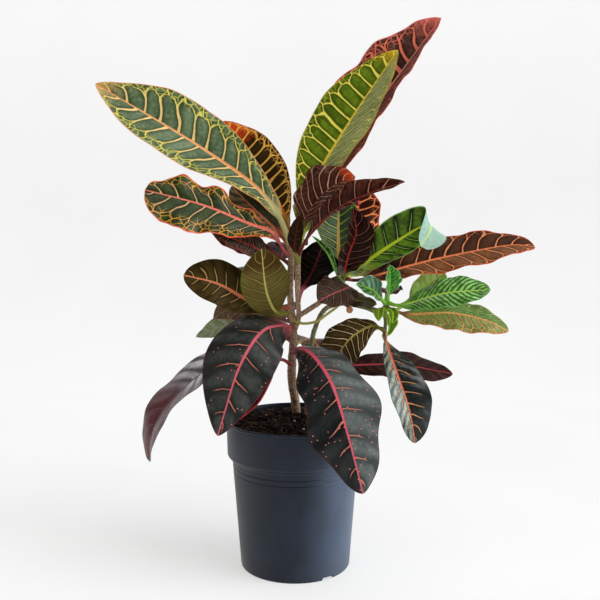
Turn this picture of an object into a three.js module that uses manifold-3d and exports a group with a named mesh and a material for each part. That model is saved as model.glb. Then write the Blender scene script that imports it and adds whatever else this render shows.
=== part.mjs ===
// Potted croton: a bushy house plant with large waved leaves in a plain nursery pot.
// Millimetres, +Z up. The origin is the centre of the flat underside of the pot,
// the plant's front looks along -Y and +X is to its right.

import * as THREE from 'three';
import { mergeVertices } from 'three/addons/utils/BufferGeometryUtils.js';
import Module from 'manifold-3d';

const wasm = await Module();
wasm.setup();

// Driving dimensions of the pot
const POT_HEIGHT = 186;
const RIM_RADIUS = 86.5;
const COLLAR_FOOT_RADIUS = 84.6;
const NECK_RADIUS = 78.5;
const BASE_RADIUS = 68.5;
const COLLAR_FOOT_Z = 143;
const NECK_Z = 136;
const WALL = 2.4;
const FLOOR = 3;
const LIP = 3.6;
const LIP_STEP = 0.8;
const POT_SIDES = 44;
const SLOT = { count: 3, firstAngle: -54, width: 19, height: 3.8, depth: 13 };

// Driving dimensions of the soil and the stems
const GAP = 0.3;
const SOIL_EDGE_Z = 179;
const SOIL_CROWN = 7;
const SOIL_RINGS = [76, 69, 61, 52, 42, 31, 19, 8];
const SOIL_CLEAR = 0.4;
const STEM_SIDES = 10;
const STEM_STEPS = 2;

// Driving dimensions that every leaf shares
const LEAF_STALK_RADIUS = 2;
const LEAF_THICKNESS = 0.9;
const LEAF_RIB = 0.9;
const LEAF_CURL = 0.08;
const ACROSS = [-1, -0.5, 0, 0.5, 1];
const TINTS = {
  sage: 0x5f7564,
  green: 0x4e7a2c,
  lime: 0xa3b33c,
  red: 0x7a2a30,
  maroon: 0x4a1c22,
  bronze: 0x5d4428,
  dark: 0x1f2f2a,
};

// The woody stems, each as points of its middle line with the radius there.
// The trunk carries a second leader that leaves it at 300 mm, and a branch to the right.
const TRUNK = {
  leader: {
    points: [[0, 22, 128], [1, 20, 190], [-4, 16, 231], [-4, 13, 255], [-2, 8, 296], [-5, 4, 325],
      [-6, 2, 341], [-5, 1, 375], [-4, 0, 398], [-1, 0, 414]],
    radii: [6.2, 6.2, 5.6, 5.6, 5.4, 4.6, 4.2, 3.8, 4.2, 2.6],
  },
  twin: {
    points: [[-2, 7, 292], [4, -2, 311], [3, -7, 342], [3, -8, 361], [4, -8, 385], [7, -8, 409]],
    radii: [3.2, 3, 2.9, 3.6, 3.1, 2.4],
  },
  rightBranch: {
    points: [[-3, 6, 306], [6, -1, 315], [20, -6, 325], [33, -8, 334], [47, -9, 346], [57, -9, 359],
      [60, -8, 374]],
    radii: [3.2, 3, 3.2, 2.8, 3, 3.6, 2.6],
  },
};
const SIDE_STEM = {
  leader: {
    points: [[14, 6, 132], [14, 6, 186], [18, 3, 226], [21, 4, 284], [29, 6, 309], [38, 9, 322], [58, 9, 329],
      [84, 0, 326], [104, -8, 321], [112, -11, 330], [112, -12, 341]],
    radii: [3.4, 3.4, 3.2, 3, 3, 3, 2.9, 2.9, 3.4, 3.6, 2.6],
  },
  hangingShoot: {
    points: [[107, -9, 322], [110, -13, 312], [109, -14, 290]],
    radii: [2.2, 2.1, 2.4],
  },
  cutStub: {
    points: [[66, 6, 328], [66, -6, 324], [66, -20, 324]],
    radii: [2.8, 3, 4.2],
  },
};

// The leaves. spine: points of the midrib, from inside the stem, where it is cut off, to the tip.
// stalk: length of the bare stalk. wide: full width. face: where the upper side looks at mid-leaf.
// fold: how far each half is raised, in degrees. wave: height of the edge's waves, waves: how many.
// belly: over 1 moves the widest place towards the tip. full: under 1 fills out base and tip.
// skew: how much wider one half is than the other. lobe: how deep the outline itself is waved.
const LEAVES = [
  // The five that top the plant
  { name: 'leaf_01', tint: 'sage', stalk: 30, wide: 94, face: [0.3, -0.87, 0.39],
    fold: 18, wave: 2.4, belly: 1.3, full: 0.82, skew: 0.04,
    spine: [[-5, 0, 402], [-22, 8, 440], [-46, 17, 470], [-120, 42, 523], [-255, 66, 604]] },
  { name: 'leaf_02', tint: 'bronze', stalk: 26, wide: 70, face: [0.2, -0.9, 0.2],
    fold: 12, wave: 2, belly: 1.2, full: 0.72,
    spine: [[-3, 0, 409], [-13, 22, 437], [-44, 50, 492], [-95, 76, 558]] },
  { name: 'leaf_03', tint: 'red', stalk: 40, wide: 104, face: [-0.62, -0.72, 0.35],
    fold: 34, wave: 3, waves: 5, full: 0.66, skew: -0.24, lobe: 0.04, belly: 1.16,
    spine: [[-1, 0, 407], [17, 24, 440], [52, 46, 487], [112, 86, 586], [191, 106, 694]] },
  { name: 'leaf_04', tint: 'green', stalk: 40, wide: 88, face: [-0.43, -0.87, 0.26],
    fold: 28, wave: 2, belly: 1.04, full: 0.76, skew: -0.07,
    spine: [[6, -8, 404], [11, 2, 435], [22, 14, 474], [71, 34, 558], [128, 44, 642]] },
  { name: 'leaf_05', tint: 'maroon', stalk: 24, wide: 66, face: [-0.62, -0.65, 0.45],
    fold: 22, wave: 4, full: 0.66, skew: -0.15,
    spine: [[5, -8, 398], [10, -14, 424], [22, -17, 449], [42, -19, 470], [72, -17, 484]] },
  { name: 'leaf_06', tint: 'maroon', stalk: 22, wide: 42, face: [-0.3, -0.7, 0.7],
    fold: 38, wave: 2, belly: 1.25, full: 0.85,
    spine: [[4, -8, 390], [17, -34, 414], [50, -62, 446], [84, -74, 463], [125, -72, 476]] },
  { name: 'leaf_33', tint: 'dark', stalk: 12, wide: 20, face: [-0.2, -0.95, 0.2],
    fold: 20, wave: 1.5, waves: 2,
    spine: [[4, -8, 381], [0, -24, 400], [2, -34, 418], [6, -36, 438]] },
  // The group over the right branch
  { name: 'leaf_07', tint: 'lime', stalk: 16, wide: 56, face: [-0.2, -0.95, 0.1],
    fold: 14, wave: 2, belly: 1.3,
    spine: [[59, -8, 369], [54, -15, 383], [52, -22, 414], [53, -18, 466]] },
  { name: 'leaf_08', tint: 'red', stalk: 22, wide: 62, face: [0.5, -0.8, 0.1],
    fold: 16, wave: 3, full: 0.6,
    spine: [[60, -8, 372], [68, 8, 394], [78, 20, 430], [78, 24, 480]] },
  { name: 'leaf_09', tint: 'maroon', stalk: 14, wide: 50, face: [0.55, -0.8, 0.2],
    fold: 32, wave: 2, belly: 0.95, full: 0.66,
    spine: [[58, -9, 360], [59, -30, 374], [64, -44, 396], [71, -52, 418], [67, -54, 446]] },
  { name: 'leaf_10', tint: 'green', stalk: 26, wide: 56, face: [0.1, -0.86, -0.42],
    fold: -12, wave: 1.2, belly: 0.95, full: 0.42, skew: 0.02,
    spine: [[59, -9, 365], [76, -20, 375], [96, -32, 391], [124, -46, 411], [146, -57, 425],
      [155, -66, 427], [152, -77, 419], [141, -88, 404]] },
  { name: 'leaf_36', tint: 'lime', stalk: 12, wide: 14, face: [0.5, -0.5, 0.7],
    fold: 30, wave: 0.5, waves: 2,
    spine: [[57, -9, 356], [49, -25, 371], [38, -33, 394], [20, -34, 414]] },
  { name: 'leaf_21', tint: 'maroon', stalk: 12, wide: 52, face: [0.2, -0.6, 0.77],
    fold: 12, wave: 3, waves: 4,
    spine: [[53, -9, 351], [66, -22, 352], [58, -34, 350], [43, -44, 345], [27, -52, 337]] },
  // The group at the end of the side stem
  { name: 'leaf_11', tint: 'bronze', stalk: 30, wide: 64, face: [0.1, -0.6, 0.8],
    fold: 15, wave: 2.6, waves: 4, belly: 1.15, full: 0.6,
    spine: [[59, -8, 362], [74, 4, 358], [98, 12, 362], [140, 16, 374], [196, 24, 387],
      [280, 40, 400], [306, 44, 397]] },
  { name: 'leaf_12', tint: 'green', stalk: 18, wide: 51, face: [0.2, -0.66, 0.75],
    fold: 8, wave: 1.4, waves: 4, belly: 1.3, full: 0.62,
    spine: [[112, -11, 332], [126, -24, 330], [175, -50, 347], [226, -66, 353]] },
  { name: 'leaf_13', tint: 'green', stalk: 20, wide: 47, face: [0.1, -0.7, 0.7],
    fold: 6, wave: 2, waves: 4, belly: 1.15, full: 0.66, skew: 0.14,
    spine: [[110, -11, 326], [134, -18, 319], [190, -28, 321], [232, -38, 312], [254, -42, 301]] },
  { name: 'leaf_14', tint: 'lime', stalk: 52, wide: 34, face: [0.2, -0.6, 0.75],
    fold: 10, wave: 2, full: 0.6,
    spine: [[106, -8, 323], [126, 8, 321], [154, 28, 340], [192, 44, 364]] },
  { name: 'leaf_15', tint: 'green', stalk: 10, wide: 34, face: [0.4, -0.75, 0.5],
    fold: 30, wave: 1.5,
    spine: [[111, -11, 330], [103, -21, 338], [91, -34, 350], [72, -40, 357]] },
  { name: 'leaf_16', tint: 'green', stalk: 8, wide: 30, face: [0.6, -0.78, 0],
    fold: 34, wave: 1.5, waves: 4,
    spine: [[112, -12, 335], [113, -21, 347], [114, -24, 362], [114, -20, 379]] },
  { name: 'leaf_17', tint: 'bronze', stalk: 10, wide: 54, face: [-0.1, -0.8, 0.6],
    fold: 10, wave: 2.4, waves: 4, belly: 1.35, full: 0.6, skew: 0.04,
    spine: [[109, -13, 298], [104, -18, 301], [92, -22, 304], [68, -26, 291], [50, -24, 267],
      [38, -22, 248]] },
  { name: 'leaf_18', tint: 'lime', stalk: 4, wide: 24, face: [0.75, -0.65, 0],
    fold: 30, wave: 1, waves: 2, belly: 0.75,
    spine: [[110, -12, 318], [113, -21, 314], [114, -22, 304], [112, -20, 292]] },
  { name: 'leaf_19', tint: 'dark', stalk: 12, wide: 58, face: [0.55, -0.82, 0.15],
    fold: 20, wave: 1.4, full: 0.62, skew: -0.12, belly: 1.3,
    spine: [[109, -14, 292], [110, -30, 284], [120, -52, 253], [134, -62, 212], [142, -64, 171]] },
  { name: 'leaf_20', tint: 'maroon', stalk: 60, wide: 49, face: [0, -0.62, 0.78],
    fold: 4, wave: 2.4, belly: 1.3, full: 0.68, skew: 0.06,
    spine: [[-2, 12, 262], [28, 32, 252], [64, 42, 245], [135, 56, 243], [207, 60, 230]] },
  { name: 'leaf_35', tint: 'bronze', stalk: 76, wide: 42, face: [0, -0.3, 0.95],
    fold: 6, wave: 2, waves: 2,
    spine: [[-3, 5, 310], [8, -8, 306], [25, -15, 309], [45, -18, 323], [64, -16, 335], [99, -18, 331]] },
  { name: 'leaf_37', tint: 'lime', stalk: 4, wide: 14, face: [-0.3, -0.5, 0.8],
    fold: 16, wave: 0.5, waves: 2,
    spine: [[103, -9, 322], [101, -26, 325], [100, -34, 312]] },
  { name: 'leaf_38', tint: 'lime', stalk: 4, wide: 15, face: [0.3, -0.5, 0.8],
    fold: 16, wave: 0.5, waves: 2,
    spine: [[107, -13, 323], [112, -24, 326], [117, -31, 322], [116, -38, 310]] },
  // The large leaves that hang over the pot
  { name: 'leaf_22', tint: 'dark', stalk: 12, wide: 88, face: [-0.1, -0.9, 0.4],
    fold: -8, wave: 1.8, waves: 2, belly: 0.9, full: 0.75, skew: 0.1,
    spine: [[-3, 8, 298], [-12, -10, 303], [-36, -34, 302], [-62, -66, 268], [-89, -84, 185]] },
  { name: 'leaf_23', tint: 'dark', stalk: 16, wide: 86, face: [0.1, -0.92, 0.35],
    fold: -6, wave: 1.8, belly: 1.3, full: 0.7, skew: -0.04, lobe: 0.1,
    spine: [[-4, 12, 266], [2, -10, 275], [17, -40, 276], [42, -88, 248], [59, -108, 196],
      [77, -116, 127]] },
  { name: 'leaf_34', tint: 'maroon', stalk: 24, wide: 44, face: [0.2, -0.9, 0.3],
    fold: 10, wave: 2,
    spine: [[-4, 13, 250], [-18, -2, 260], [-40, -26, 250], [-64, -46, 222], [-80, -56, 190]] },
  { name: 'leaf_24', tint: 'maroon', stalk: 40, wide: 76, face: [-0.5, -0.3, 0.8],
    fold: 14, wave: 2, belly: 1.2, full: 0.5,
    spine: [[-3, 10, 285], [-34, 8, 288], [-76, 2, 275], [-106, -4, 251], [-136, -14, 227],
      [-161, -24, 201], [-175, -28, 172], [-178, -28, 138]] },
  // The smaller leaves left of the trunk
  { name: 'leaf_25', tint: 'lime', stalk: 10, wide: 60, face: [0.1, -0.98, 0.1],
    fold: 8, wave: 1.4, full: 0.67,
    spine: [[-5, 4, 319], [-14, 4, 316], [-24, 1, 320], [-32, -9, 336], [-36, -15, 353],
      [-40, -25, 398]] },
  { name: 'leaf_26', tint: 'dark', stalk: 22, wide: 56, face: [-0.2, -0.85, 0.5],
    fold: 8, wave: 2, belly: 1.35, full: 0.55, skew: 0.08,
    spine: [[-5, 3, 324], [-24, 6, 326], [-56, 0, 333], [-94, -12, 355], [-135, -16, 366]] },
  { name: 'leaf_27', tint: 'bronze', stalk: 30, wide: 42, face: [-0.3, -0.6, 0.75],
    fold: 12, wave: 2,
    spine: [[-3, 8, 306], [-30, 16, 309], [-56, 22, 315], [-84, 22, 319], [-103, 18, 308]] },
  { name: 'leaf_28', tint: 'green', stalk: 40, wide: 32, face: [-0.3, -0.7, 0.65],
    fold: 16, wave: 1.4,
    spine: [[-3, 9, 291], [-40, 28, 297], [-80, 36, 299], [-127, 32, 283]] },
  // The left group under the crown
  { name: 'leaf_29', tint: 'green', stalk: 20, wide: 76, face: [0.1, -0.8, 0.6],
    fold: 10, wave: 5, waves: 4, belly: 2, full: 0.5, skew: -0.2, lobe: 0.06,
    spine: [[-5, 1, 386], [-14, -3, 396], [-28, -7, 417], [-54, -12, 427], [-107, -20, 449],
      [-178, -26, 468]] },
  { name: 'leaf_30', tint: 'bronze', stalk: 26, wide: 48, face: [0.3, -0.85, 0.4],
    fold: 10, wave: 1.6, belly: 1.3, full: 0.6,
    spine: [[-4, 0, 396], [-24, 14, 420], [-52, 28, 446], [-80, 36, 474]] },
  { name: 'leaf_31', tint: 'red', stalk: 24, wide: 36, face: [-0.2, -0.8, 0.6],
    fold: 14, wave: 2.4,
    spine: [[-5, 1, 377], [-26, 10, 390], [-66, 16, 405], [-106, 12, 420]] },
  { name: 'leaf_32', tint: 'red', stalk: 24, wide: 34, face: [0.1, -0.8, 0.6],
    fold: 14, wave: 2,
    spine: [[-5, 2, 364], [-24, -2, 379], [-47, -12, 398], [-94, -25, 417]] },
];

// The leaves at the back, which fill the plant all round: foot, middle and tip
const BACK_LEAVES = [
  { foot: [-4, 0, 390], middle: [-34, 84, 432], tip: [-76, 176, 428], wide: 62, tint: 'bronze' },
  { foot: [5, -8, 396], middle: [26, 92, 448], tip: [58, 190, 440], wide: 66, tint: 'green' },
  { foot: [-5, 1, 380], middle: [-10, 90, 400], tip: [-24, 178, 372], wide: 60, tint: 'maroon' },
  { foot: [-5, 2, 356], middle: [-52, 70, 372], tip: [-92, 132, 346], wide: 46, tint: 'green' },
  { foot: [3, -4, 330], middle: [22, 60, 364], tip: [40, 116, 404], wide: 64, tint: 'dark' },
  { foot: [59, -7, 366], middle: [84, 60, 396], tip: [122, 128, 398], wide: 52, tint: 'bronze' },
  { foot: [57, -9, 356], middle: [88, 66, 362], tip: [106, 124, 388], wide: 54, tint: 'green' },
  { foot: [112, -11, 335], middle: [116, 46, 344], tip: [126, 106, 330], wide: 44, tint: 'lime' },
  { foot: [-3, 7, 301], middle: [-24, 86, 316], tip: [-40, 160, 274], wide: 62, tint: 'green' },
  { foot: [-3, 10, 280], middle: [-50, 70, 282], tip: [-92, 118, 248], wide: 52, tint: 'maroon' },
  { foot: [-4, 11, 272], middle: [24, 78, 272], tip: [44, 146, 222], wide: 58, tint: 'bronze' },
];

// Joins and cuts

function solidOf(geometry) {
  const bare = geometry.clone();
  bare.deleteAttribute('normal');
  bare.deleteAttribute('uv');
  const merged = mergeVertices(bare, 1e-3);
  return new wasm.Manifold(new wasm.Mesh({
    numProp: 3,
    vertProperties: new Float32Array(merged.attributes.position.array),
    triVerts: new Uint32Array(merged.index.array),
  }));
}

function geometryOf(solid) {
  const mesh = solid.getMesh();
  const geometry = new THREE.BufferGeometry();
  geometry.setAttribute('position', new THREE.BufferAttribute(mesh.vertProperties, 3));
  geometry.setIndex(new THREE.BufferAttribute(mesh.triVerts, 1));
  geometry.computeVertexNormals();
  return geometry;
}

function largestPiece(solid) {
  const pieces = solid.decompose();
  return pieces.reduce((best, piece) => (piece.volume() > best.volume() ? piece : best));
}

// Stems: a round section swept along the middle line, then thinned to the local radius

function curveThrough(points) {
  return new THREE.CatmullRomCurve3(points.map((p) => new THREE.Vector3(...p)), false, 'centripetal');
}

function stemSolid({ points, radii }, extra = 0) {
  const path = curveThrough(points);
  const steps = (points.length - 1) * STEM_STEPS;
  const section = new THREE.Shape().absarc(0, 0, 1, 0, Math.PI * 2);
  const geometry = new THREE.ExtrudeGeometry(section, {
    steps, extrudePath: path, curveSegments: STEM_SIDES / 2, bevelEnabled: false,
  });
  const stations = path.getSpacedPoints(steps);
  const position = geometry.attributes.position;
  const vertex = new THREE.Vector3();
  for (let i = 0; i < position.count; i++) {
    vertex.fromBufferAttribute(position, i);
    const distances = stations.map((station) => station.distanceTo(vertex));
    const nearest = distances.indexOf(Math.min(...distances));
    const along = (nearest / steps) * (radii.length - 1);
    const before = Math.min(Math.floor(along), radii.length - 2);
    const radius = THREE.MathUtils.lerp(radii[before], radii[before + 1], along - before) + extra;
    vertex.sub(stations[nearest]).multiplyScalar(radius).add(stations[nearest]);
    position.setXYZ(i, vertex.x, vertex.y, vertex.z);
  }
  return solidOf(geometry);
}

function branchedStem(branches, extra = 0) {
  return Object.values(branches).map((branch) => stemSolid(branch, extra))
    .reduce((whole, branch) => whole.add(branch));
}

// Pot: one turned shell with a lip, a collar and drain slots at its foot

function potGeometry() {
  const outside = [
    [BASE_RADIUS - 1, 0], [BASE_RADIUS, 1.5], [NECK_RADIUS, NECK_Z],
    [COLLAR_FOOT_RADIUS - 1, COLLAR_FOOT_Z - 2], [COLLAR_FOOT_RADIUS, COLLAR_FOOT_Z],
    [RIM_RADIUS - 0.9, POT_HEIGHT - LIP - 1], [RIM_RADIUS, POT_HEIGHT - LIP],
    [RIM_RADIUS, POT_HEIGHT - 1], [RIM_RADIUS - 1, POT_HEIGHT], [RIM_RADIUS - WALL, POT_HEIGHT],
  ];
  const inside = [
    [RIM_RADIUS - WALL - LIP_STEP, POT_HEIGHT - LIP], [COLLAR_FOOT_RADIUS - WALL, COLLAR_FOOT_Z],
    [NECK_RADIUS - WALL, NECK_Z], [BASE_RADIUS - WALL, FLOOR],
  ];
  const profile = [[0, 0], ...outside, ...inside, [0, FLOOR]].map(([r, z]) => new THREE.Vector2(r, z));
  let pot = solidOf(new THREE.LatheGeometry(profile, POT_SIDES).rotateX(Math.PI / 2));
  for (let i = 0; i < SLOT.count; i++) {
    const angle = THREE.MathUtils.degToRad(SLOT.firstAngle + (360 * i) / SLOT.count);
    const slot = new THREE.BoxGeometry(SLOT.depth * 2, SLOT.width, SLOT.height * 2)
      .translate(BASE_RADIUS, 0, 0).rotateZ(angle);
    pot = pot.subtract(solidOf(slot));
  }
  return geometryOf(pot);
}

// Soil: fills the pot, with a lumpy top and a plain hole for each stem

function lump(x, y) {
  return 1.5 * Math.sin(x / 7 + 2 * Math.sin(y / 11)) + 1.2 * Math.cos(y / 6 - 1.5 * Math.sin(x / 9));
}

function soilGeometry(holes) {
  const inside = (radius) => radius - WALL - SOIL_CLEAR;
  const edge = inside(RIM_RADIUS - LIP_STEP);
  const profile = [
    [0, FLOOR + SOIL_CLEAR], [inside(BASE_RADIUS), FLOOR + SOIL_CLEAR], [inside(NECK_RADIUS), NECK_Z],
    [inside(COLLAR_FOOT_RADIUS), COLLAR_FOOT_Z + 1], [edge, SOIL_EDGE_Z],
    ...SOIL_RINGS.map((radius) => [radius, SOIL_EDGE_Z]), [0, SOIL_EDGE_Z],
  ].map(([r, z]) => new THREE.Vector2(r, z));
  const geometry = new THREE.LatheGeometry(profile, POT_SIDES).rotateX(Math.PI / 2);
  const position = geometry.attributes.position;
  for (let i = 0; i < position.count; i++) {
    const x = position.getX(i);
    const y = position.getY(i);
    const inward = 1 - Math.hypot(x, y) / edge;
    if (position.getZ(i) > SOIL_EDGE_Z - GAP && inward > 0.01) {
      position.setZ(i, SOIL_EDGE_Z + SOIL_CROWN * Math.min(1, inward * 1.8) + lump(x, y));
    }
  }
  return geometryOf(holes.reduce((soil, hole) => soil.subtract(hole), solidOf(geometry)));
}

// Leaves: a bare stalk that opens into a thin, folded and waved blade along its spine

const smooth = (value) => THREE.MathUtils.smoothstep(value, 0, 1);

function bladeHalfWidth(t, wide, belly, full) {
  return (wide / 2) * Math.sin(Math.PI * Math.min(1, t) ** belly) ** full;
}

function spineFrames(curve, stations, face) {
  const tangents = stations.map((u) => curve.getTangentAt(u));
  const middle = Math.floor(stations.length * 0.6);
  const turn = (normal, from, to) => normal.clone()
    .applyQuaternion(new THREE.Quaternion().setFromUnitVectors(from, to));
  const normals = [];
  normals[middle] = new THREE.Vector3(...face).projectOnPlane(tangents[middle]).normalize();
  for (let i = middle + 1; i < stations.length; i++) {
    normals[i] = turn(normals[i - 1], tangents[i - 1], tangents[i]);
  }
  for (let i = middle - 1; i >= 0; i--) normals[i] = turn(normals[i + 1], tangents[i + 1], tangents[i]);
  return stations.map((u, i) => ({
    centre: curve.getPointAt(u), up: normals[i], side: tangents[i].clone().cross(normals[i]),
  }));
}

function leafGeometry(leaf) {
  const { wide, stalk, face, fold = 10, wave = 2, waves = 3, belly = 1.2, full = 0.8,
    skew = 0, lobe = 0 } = leaf;
  const curve = curveThrough(leaf.spine);
  const stalkSteps = 2;
  const bladeSteps = wide > 56 ? 11 : 8;
  const start = stalk / curve.getLength();
  const ladder = [];
  for (let i = 0; i < stalkSteps; i++) ladder.push({ u: (start * i) / stalkSteps, t: 0 });
  for (let i = 0; i <= bladeSteps; i++) {
    const t = i / bladeSteps;
    ladder.push({ u: Math.min(1, THREE.MathUtils.lerp(start, 1, t)), t });
  }
  const frames = spineFrames(curve, ladder.map(({ u }) => u), face);
  const tilt = THREE.MathUtils.degToRad(fold);
  const top = [];
  const bottom = [];
  ladder.forEach(({ t }, i) => {
    const { centre, up, side } = frames[i];
    const open = smooth(t / 0.14);
    const stalkRadius = LEAF_STALK_RADIUS * (1 - 0.7 * t);
    for (const v of ACROSS) {
      const uneven = 1 + skew * Math.sign(v) + lobe * Math.sin(2 * Math.PI * waves * t + (v > 0 ? 1 : 3));
      const half = Math.max(bladeHalfWidth(t, wide, belly, full) * uneven, LEAF_STALK_RADIUS * (1 - t));
      const reach = Math.abs(v) * half;
      const fade = open * v * v * Math.sin(Math.PI * t) ** 0.5;
      const ripple = wave * fade * Math.sin(2 * Math.PI * waves * t + (v > 0 ? 0.6 : 2.4));
      const rise = open * (reach * Math.sin(tilt) - LEAF_CURL * v * v * half) + ripple;
      const out = v * half * THREE.MathUtils.lerp(1, Math.cos(tilt), open);
      const round = stalkRadius * Math.sqrt(1 - 0.96 * v * v);
      const thick = THREE.MathUtils.lerp(round, LEAF_THICKNESS / 2, open);
      const rib = v === 0 ? open * LEAF_RIB * (1 - t) : 0;
      const place = centre.clone().addScaledVector(side, out);
      top.push(place.clone().addScaledVector(up, rise + thick));
      bottom.push(place.clone().addScaledVector(up, rise - thick - rib));
    }
  });
  return shellGeometry(top, bottom, ACROSS.length);
}

// Two like grids of points, one over the other, closed at their edges
function shellGeometry(top, bottom, columns) {
  const rows = top.length / columns;
  const under = top.length;
  const triangles = [];
  const quad = (a, b, c, d) => triangles.push(a, b, c, a, c, d);
  for (let j = 0; j < rows - 1; j++) {
    for (let k = 0; k < columns - 1; k++) {
      const a = j * columns + k;
      const [b, c, d] = [a + 1, a + columns + 1, a + columns];
      triangles.push(a, b, c, a, c, d);
      triangles.push(under + a, under + c, under + b, under + a, under + d, under + c);
    }
    const left = j * columns;
    const right = left + columns - 1;
    quad(under + right, under + right + columns, right + columns, right);
    quad(left, left + columns, under + left + columns, under + left);
  }
  const last = (rows - 1) * columns;
  for (let k = 0; k < columns - 1; k++) {
    quad(under + k, under + k + 1, k + 1, k);
    quad(last + k, last + k + 1, under + last + k + 1, under + last + k);
  }
  const geometry = new THREE.BufferGeometry();
  const flat = [...top, ...bottom].flatMap((point) => [point.x, point.y, point.z]);
  geometry.setAttribute('position', new THREE.BufferAttribute(new Float32Array(flat), 3));
  geometry.setIndex(triangles);
  return geometry;
}

function backLeaf({ foot, middle, tip, wide, tint }) {
  const out = new THREE.Vector3(...middle).sub(new THREE.Vector3(...foot));
  const stalkEnd = foot.map((value, axis) => value + out.getComponent(axis) * 0.3 + (axis === 2 ? 4 : 0));
  return {
    stalk: out.length() * 0.3, wide, tint, face: [0, -0.2, 1], fold: 10, wave: 2.4, waves: 3,
    spine: [foot, stalkEnd, middle, tip],
  };
}

// The finished plant, piece by piece

const matt = (color, roughness = 0.5) => new THREE.MeshStandardMaterial({ color, roughness, metalness: 0 });
const croton = new THREE.Group();

function place(name, geometry, material, origin = [0, 0, 0]) {
  const local = geometry.clone().translate(...origin.map((value) => -value));
  local.computeVertexNormals();
  const mesh = new THREE.Mesh(local, material);
  mesh.name = name;
  mesh.position.set(...origin);
  croton.add(mesh);
}

const trunkClear = branchedStem(TRUNK, GAP);
const sideStemClear = branchedStem(SIDE_STEM, GAP);
const deeper = (stem) => stem.add(stem.translate(0, 0, -GAP));

place('pot', potGeometry(), matt(0x39424f, 0.55));
place('soil', soilGeometry([deeper(trunkClear), deeper(sideStemClear)]), matt(0x2a1c14, 0.95));
place('trunk', geometryOf(branchedStem(TRUNK)), matt(0x6f5140, 0.8));
place('side_stem', geometryOf(branchedStem(SIDE_STEM)), matt(0x6a5a45, 0.8));

function placeLeaf(name, leaf) {
  const whole = solidOf(leafGeometry(leaf));
  const clear = largestPiece(whole.subtract(trunkClear).subtract(sideStemClear));
  place(name, geometryOf(clear), matt(TINTS[leaf.tint], 0.4), leaf.spine[0]);
}

LEAVES.forEach((leaf) => placeLeaf(leaf.name, leaf));
BACK_LEAVES.forEach((leaf, index) => {
  placeLeaf(`leaf_back_${String(index + 1).padStart(2, '0')}`, backLeaf(leaf));
});

export default croton;
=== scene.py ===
"""Potted croton: the look of the plant, its pot and its soil over the solid model."""

import math
import random
from types import SimpleNamespace

import bpy
import numpy as np
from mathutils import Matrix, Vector


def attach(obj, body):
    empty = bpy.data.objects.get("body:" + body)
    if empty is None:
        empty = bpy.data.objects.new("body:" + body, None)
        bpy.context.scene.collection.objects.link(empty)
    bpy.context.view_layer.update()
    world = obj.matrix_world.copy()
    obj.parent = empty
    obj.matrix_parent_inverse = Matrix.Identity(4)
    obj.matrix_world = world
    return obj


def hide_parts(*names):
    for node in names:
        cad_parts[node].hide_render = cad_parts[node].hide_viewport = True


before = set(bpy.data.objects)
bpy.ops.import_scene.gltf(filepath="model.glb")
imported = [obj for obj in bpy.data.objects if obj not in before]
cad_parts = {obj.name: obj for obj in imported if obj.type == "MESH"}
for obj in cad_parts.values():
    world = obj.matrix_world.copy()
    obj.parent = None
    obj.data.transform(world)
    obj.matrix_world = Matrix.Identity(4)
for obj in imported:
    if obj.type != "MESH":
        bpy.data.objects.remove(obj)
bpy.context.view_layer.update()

MM = 0.001

# Driving dimensions in millimetres, the same as in the solid model
POT_HEIGHT = 186
RIM_RADIUS = 86.5
COLLAR_FOOT_RADIUS = 84.6
NECK_RADIUS = 78.5
BASE_RADIUS = 68.5
BASE_BEVEL = 1.5
COLLAR_FOOT_Z = 143
NECK_Z = 136
WALL = 2.4
FLOOR = 3
LIP = 3.6
SLOT_COUNT = 3
SLOT_FIRST_ANGLE = -54
SLOT_WIDTH = 19
SLOT_HEIGHT = 3.8
SLOT_DEPTH = 13
SOIL_EDGE_Z = 179
SOIL_CROWN = 7
SOIL_CLEAR = 0.4
LEAF_STALK_RADIUS = 2
LEAF_CURL = 0.08

# What only the looks have: the hollow under the pot, fine lines moulded round it, slots narrower at
# the top, and the height where bark turns green
HOLLOW = 0.8
RING_HEIGHTS = (122.5, 129.5)
SLOT_TAPER = 1.5
GREEN_FROM = {"trunk": 395, "side_stem": 190}

# The woody stems: points of each middle line, the radii spread evenly along it, and its kind
TRUNK = [
    ([[0, 22, 128], [1, 20, 190], [-4, 16, 231], [-4, 13, 255], [-2, 8, 296], [-5, 4, 325],
      [-6, 2, 341], [-5, 1, 375], [-4, 0, 398], [-1, 0, 414]],
     [6.2, 6.2, 5.6, 5.6, 5.4, 4.6, 4.2, 3.8, 4.2, 2.6], "bark"),
    ([[-2, 7, 292], [4, -2, 311], [3, -7, 342], [3, -8, 361], [4, -8, 385], [7, -8, 409]],
     [3.2, 3, 2.9, 3.6, 3.1, 2.4], "bark"),
    ([[-3, 6, 306], [6, -1, 315], [20, -6, 325], [33, -8, 334], [47, -9, 346], [57, -9, 359],
      [60, -8, 374]],
     [3.2, 3, 3.2, 2.8, 3, 3.6, 2.6], "bark"),
]
SIDE_STEM = [
    ([[14, 6, 132], [14, 6, 186], [18, 3, 226], [21, 4, 284], [29, 6, 309], [38, 9, 322], [58, 9, 329],
      [84, 0, 326], [104, -8, 321], [112, -11, 330], [112, -12, 341]],
     [3.4, 3.4, 3.2, 3, 3, 3, 2.9, 2.9, 3.4, 3.6, 2.6], "bark"),
    ([[107, -9, 322], [110, -13, 312], [109, -14, 290]], [2.2, 2.1, 2.4], "green"),
    ([[66, 6, 328], [66, -6, 324], [66, -20, 324]], [2.8, 3, 4.2], "cut"),
]

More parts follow.
